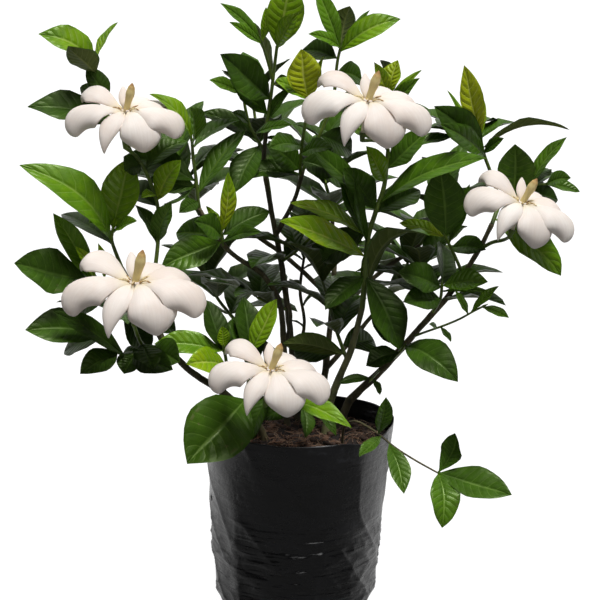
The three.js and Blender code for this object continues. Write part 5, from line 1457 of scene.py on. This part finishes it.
def leaf_material():
    """Leaf skin: a pale midrib and curved pairs of side veins read from the leaf's own
    surface coordinates, with the blade puffed up between them, and painted a little lighter
    on the puffs and darker in the vein creases as painted light and shade; deep to yellow
    green by the leaf's tone above, which carries painted shade too, and matt grey green
    with raised veins below."""
    skin = Skin("leaf_skin")
    across, down = skin.blade()
    tone = skin.mark("tone")
    under = skin.mask(skin.mark("under"), 0.3, 0.6)
    wander = skin.swing(skin.grain(60.0, 2.0), 0.035)
    swept = skin.scaled(skin.math("POWER", across, 1.25), -0.16, down)
    vein_pairs = 9.0
    from_vein = skin.math("PINGPONG", skin.times(skin.math("ADD", swept, wander), vein_pairs), 0.5)
    side_vein = skin.times(skin.fade(from_vein, 0.01, 0.075), skin.fade(across, 0.72, 0.97))
    midrib = skin.fade(across, 0.02, 0.09)
    vein = skin.math("MAXIMUM", skin.times(side_vein, 0.7), midrib)
    net_line = skin.fade(skin.cells(420.0, "DISTANCE_TO_EDGE"), 0.0, 0.16)
    puffed = skin.math("POWER", skin.times(from_vein, 2.0), 0.6)
    quilt = skin.times(puffed, skin.fade(across, 0.75, 1.0), skin.mask(across, 0.0, 0.2))
    # The quilt's small swing paints the puffs lighter and the vein creases darker: painted light and shade.
    # The tone adds the shaded shoots' painted shade.
    lightness_with_painted_shade = skin.swing(quilt, 0.03, skin.swing(skin.blotches(28.0), 0.16, tone))
    blade = skin.ramp(lightness_with_painted_shade, (0.0, "263812"), (0.3, "3b5c12"), (0.55, "568011"), (0.78, "78a007"),
                      (1.0, "a0ae0e"))
    vein_colour = skin.ramp(lightness_with_painted_shade, (0.0, "3a5420"), (0.5, "7c9e40"), (1.0, "ccd466"))
    top = skin.blend(skin.times(vein, 0.7), blade, vein_colour)
    top = skin.blend(skin.times(net_line, 0.10), top, vein_colour)
    pale = skin.ramp(lightness_with_painted_shade, (0.0, "3c4a22"), (0.6, "5f6e2e"), (1.0, "8b9a3c"))
    pale_vein = skin.ramp(lightness_with_painted_shade, (0.0, "6c7646"), (1.0, "9ba458"))
    bottom = skin.blend(skin.times(vein, 0.8), pale, pale_vein)
    height = skin.times(skin.scaled(net_line, -0.04, quilt), skin.scaled(tone, 1.1, 0.35))
    inward_below = skin.scaled(under, -2.0, 1.0)
    rough = skin.scaled(under, 0.3, skin.scaled(skin.blotches(22.0), 0.07, 0.3))
    # Low tones, the shaded shoots' painted shade among them, are also given less shine.
    gloss = skin.scaled(skin.mask(tone, 0.12, 0.4), 0.14, 0.2)
    return skin.shaded(
        Base_Color=skin.blend(under, top, bottom), Roughness=rough, Specular_IOR_Level=gloss,
        Normal=skin.bump(skin.times(height, inward_below), 0.6, 0.0012),
        Specular_Tint=(0.85, 1.0, 0.55, 1.0))


def green_stem_material():
    """Young stem: green, lined along its length and blotched with brown green."""
    skin = Skin("green_stem")
    lines = skin.grain((260.0, 260.0, 40.0), 3.0)
    amount = skin.sum_of((skin.blotches(40.0), 0.5), (lines, 0.5))
    return skin.shaded(
        Base_Color=skin.ramp(amount, (0.1, "36430f"), (0.5, "587018"), (0.9, "7e9436")),
        Roughness=skin.scaled(lines, 0.2, 0.38), Normal=skin.bump(lines, 0.4, 0.0006))


def bark_material(name, dark, middle, pale):
    """Bark: three browns in blotches with fine cracks along the stem, and pale flecks."""
    skin = Skin(name)
    cracks = skin.grain((240.0, 240.0, 60.0), 5.0, 0.65)
    fleck = skin.fade(skin.cells(210.0, "F1", skin.stretched(skin.places, (1.0, 1.0, 0.6))), 0.12, 0.26)
    amount = skin.sum_of((cracks, 0.7), (skin.blotches(30.0), 0.35))
    base = skin.ramp(amount, (0.2, dark), (0.5, middle), (0.8, pale))
    return skin.shaded(
        Base_Color=skin.blend(skin.times(fleck, 0.3), base, "857a62"),
        Roughness=skin.scaled(cracks, 0.2, 0.68),
        Normal=skin.bump(skin.scaled(fleck, 0.5, cracks), 0.7, 0.0012))


def petal_material():
    """Petal: cream white with fine veins along it, a warmer root, a faint bruise towards
    the rim, and a soft waxy skin that lets light in a little."""
    skin = Skin("waxy_petal")
    across, down = skin.blade()
    wander = skin.grain(45.0, 2.0)
    stripes = skin.noise(skin.stretched(skin.surface(), (34.0, 2.2, 1.0)), 1.0, 2.0)
    veins = skin.mask(skin.scaled(wander, 0.3, stripes), 0.55, 0.85)
    amount = skin.sum_of((skin.mark("tone"), 0.5), (skin.blotches(18.0), 0.5))
    base = skin.ramp(amount, (0.0, "ecddd2"), (0.5, "f1e6dd"), (1.0, "f6eee6"))
    veined = skin.blend(skin.times(veins, 0.2), base, "dcccc0")
    rooted = skin.blend(skin.times(skin.fade(down, 0.02, 0.3), 0.45), veined, "e9dfae")
    bruise = skin.times(skin.mask(across, 0.8, 1.0), skin.mask(down, 0.35, 0.8),
                        skin.mask(skin.grain(90.0, 3.0), 0.45, 0.75), 0.4)
    return skin.shaded(
        Base_Color=skin.blend(bruise, rooted, "c9ad86"), Roughness=skin.scaled(wander, 0.2, 0.42),
        Normal=skin.bump(skin.sum_of((stripes, 0.8), (wander, 0.9)), 0.35, 0.0009),
        Subsurface_Weight=0.06, Subsurface_Scale=0.003, Subsurface_Radius=(1.0, 0.75, 0.55),
        Specular_IOR_Level=0.3)


def style_material():
    """Style: pale yellow with a fine grain, browner towards its tip."""
    skin = Skin("style_skin")
    grain = skin.grain((900.0, 900.0, 300.0), 4.0)
    along = skin.axes(skin.surface())[1]
    tip = skin.mask(skin.scaled(grain, 0.2, along), 0.72, 1.12)
    colour = skin.ramp(tip, (0.0, "ddcb8e"), (0.5, "caa968"), (1.0, "9a6c3c"))
    return skin.shaded(Base_Color=skin.blend(skin.times(grain, 0.25), colour, "b99552"),
                       Roughness=skin.scaled(grain, 0.2, 0.55), Normal=skin.bump(grain, 0.5, 0.0006))


def stamen_material():
    """Stamens: cream with browned pollen edges."""
    skin = Skin("stamen_skin")
    spots = skin.blotches(260.0)
    return skin.shaded(Base_Color=skin.ramp(spots, (0.2, "e6d6a8"), (0.8, "a07a4a")),
                       Roughness=skin.scaled(spots, 0.2, 0.6), Normal=skin.bump(spots, 0.4, 0.0004))


def film_material():
    """Film: black, glossy where it is taut and duller where it is dusty, with fine
    creases in every direction and level ones low down."""
    skin = Skin("black_film")
    dust = skin.blotches(9.0, skin.stretched(skin.places, (1.0, 1.0, 2.0)))
    scuffs = skin.mask(skin.grain((34.0, 34.0, 60.0), 6.0, 0.7), 0.54, 0.7)
    level = skin.grain((26.0, 26.0, 190.0), 5.0, 0.62)
    any_way = skin.math("ABSOLUTE", skin.swing(skin.grain(75.0, 6.0, 0.62), 1.0))
    crest = skin.math("ABSOLUTE", skin.swing(skin.grain((11.0, 11.0, 75.0), 2.0, 0.5), 1.0))
    low = skin.scaled(skin.fade(skin.axes(skin.places)[2], 0.075, 0.14), 0.85, 0.15)
    folds = skin.times(skin.fade(crest, 0.0, 0.15), low)
    height = skin.sum_of((level, 0.8), (any_way, -1.2), (folds, 1.2))
    wear = skin.sum_of((scuffs, 0.4), (dust, 0.5))
    return skin.shaded(
        Base_Color=skin.ramp(wear, (0.0, "060607"), (0.5, "0d0d10"), (1.0, "2c2d32")),
        Roughness=skin.scaled(scuffs, 0.2, skin.scaled(dust, 0.14, 0.2)),
        Normal=skin.bump(height, 0.6, 0.0016), Specular_IOR_Level=0.5)


def crumb_material(name, dark, middle, pale, scale):
    """A crumbly matt stuff in three browns, by blotches and each crumb's own tone."""
    skin = Skin(name)
    grain = skin.grain(scale * 6, 5.0, 0.7)
    amount = skin.sum_of((skin.blotches(scale), 0.35), (grain, 0.35), (skin.mark("tone"), 0.4))
    return skin.shaded(
        Base_Color=skin.ramp(amount, (0.15, dark), (0.5, middle), (0.9, pale)),
        Roughness=skin.scaled(grain, 0.15, 0.8), Normal=skin.bump(grain, 0.7, 0.0012))


LEAF = leaf_material()
GREEN_STEM = green_stem_material()
BARK = bark_material("woody_bark", "272313", "4c472a", "72694a")
KHAKI_BARK = bark_material("khaki_bark", "3c3e20", "66683e", "8e8e62")
PETAL = petal_material()
STAMEN = stamen_material()
STYLE_SKIN = style_material()
FILM = film_material()
MIX = crumb_material("potting_mix_crumb", "0e0805", "26180f", "55392a", 70.0)
FIBRE = crumb_material("coir_fibre", "4a2e1e", "80604a", "b89c82", 120.0)
CHIP = crumb_material("bark_chip", "1c110a", "38251a", "6a4c38", 90.0)


# The plant --------------------------------------------------------------------------------

dress_bag()
dress_soil()
dress_fibres()
dress_chips()
for number, (name, branches) in enumerate(WOODY_STEMS.items()):
    dress_woody_stem(number + 1, name, branches)
dress_twig()
for number, (name, shoot) in enumerate(SHOOTS.items()):
    dress_shoot(number, name, shoot)
for number, (name, bloom) in enumerate(BLOOMS.items()):
    dress_bloom(number + 1, name, bloom)
    dress_style(name.replace("bloom", "style"), bloom)


# The studio -------------------------------------------------------------------------------

WHITE = (1.0, 1.0, 1.0, 1.0)
FLOOR_GREY = (0.13, 0.13, 0.13, 1.0)
FLOOR_HALF = 30000.0
FLOOR_GLOW = 0.95
BACKDROP_SHEEN = 0.65  # how bright floor and surround behind the plant are in what shines,
FRONT_SHEEN = 0.04  # and the surround in front of it
FLOOR_EDGE = (-0.12, 0.08)
SKY_EDGE = (-0.1, 0.15)
FILL = 0.17
CLIPPING = (0.1, 200.0)
# Suns: name, direction, power, how broad, and whether they show in what shines
SUNS = [
    ("key", (-0.2, 0.3, -1.0), 3.2, 22, True),
    ("back", (0.2, -0.7, -0.7), 0.9, 30, False),
]
FRONT_BOX = {"place": (0.3, -1.4, 1.5), "target": (0, 0, 0.2), "size": (1.3, 0.9), "power": 9}


def make_floor():
    """A plain white floor that runs back past the horizon, lit from below for the eye."""
    corners = np.array([[-1, -1, 0], [1, -1, 0], [1, 1, 0], [-1, 1, 0]]) * FLOOR_HALF / METRE
    mesh = bpy.data.meshes.new("floor")
    mesh.from_pydata(corners.tolist(), [], [[0, 1, 2, 3]])
    floor = in_scene("floor", mesh)
    paint = Skin("floor_paint")
    rays = paint.add("ShaderNodeLightPath").outputs
    behind = paint.mask(paint.axes(paint.places)[1], *FLOOR_EDGE)
    mirrored = paint.times(rays["Is Glossy Ray"], behind, BACKDROP_SHEEN)
    glow = paint.scaled(rays["Is Camera Ray"], FLOOR_GLOW, mirrored)
    mesh.materials.append(paint.shaded(Base_Color=FLOOR_GREY, Roughness=0.9, Emission_Strength=glow,
                                       Emission_Color=WHITE))


def make_light(name, kind, direction, power):
    """A light that shines along a direction."""
    data = bpy.data.lights.new(name, kind)
    data.energy = power
    light = in_scene(name, data)
    light.rotation_euler = direction.to_track_quat("-Z", "Y").to_euler()
    return light


def make_front_box():
    """A soft box that faces the plant from the front and is seen only in what shines."""
    place = Vector(FRONT_BOX["place"])
    light = make_light("front_box", "AREA", Vector(FRONT_BOX["target"]) - place, FRONT_BOX["power"])
    light.data.shape = "RECTANGLE"
    light.data.size, light.data.size_y = FRONT_BOX["size"]
    light.location = place
    light.visible_diffuse = False


def make_sun(name, direction, power, angle, shines):
    """A broad even light from one direction, left out of what shines where that's asked."""
    light = make_light(name, "SUN", Vector(direction), power)
    light.data.angle = math.radians(angle)
    light.visible_glossy = shines


def make_world():
    """A white surround that lights evenly, and in what shines is bright only behind."""
    world = bpy.data.worlds.new("studio")
    bpy.context.scene.world = world
    world.use_nodes = True
    graph = Graph(world.node_tree)
    background = world.node_tree.nodes["Background"]
    rays = graph.add("ShaderNodeLightPath").outputs
    away = graph.axes(graph.add("ShaderNodeTexCoord").outputs["Generated"])
    behind = graph.mask(away[1], *SKY_EDGE)
    sheen = graph.scaled(behind, BACKDROP_SHEEN - FRONT_SHEEN, FRONT_SHEEN - FILL)
    strength = graph.scaled(rays["Is Camera Ray"], 1.0 - FILL, FILL)
    graph.give(background.inputs["Color"], WHITE)
    graph.give(background.inputs["Strength"], graph.scaled(rays["Is Glossy Ray"], sheen, strength))


def make_camera():
    """The photograph's view: 13 degrees down, 2.2 m from the sheet's middle."""
    data = bpy.data.cameras.new("camera")
    data.angle = 2 * math.atan(SHEET / 2 / VIEW_DISTANCE)
    data.clip_start, data.clip_end = CLIPPING
    camera = in_scene("camera", data)
    camera.location = VIEWER / METRE
    camera.rotation_euler = (math.pi / 2 - VIEW_ELEVATION, 0, 0)
    bpy.context.scene.camera = camera


make_camera()
make_floor()
make_world()
for sun in SUNS:
    make_sun(*sun)
make_front_box()
bpy.context.scene.view_settings.view_transform = "Standard"
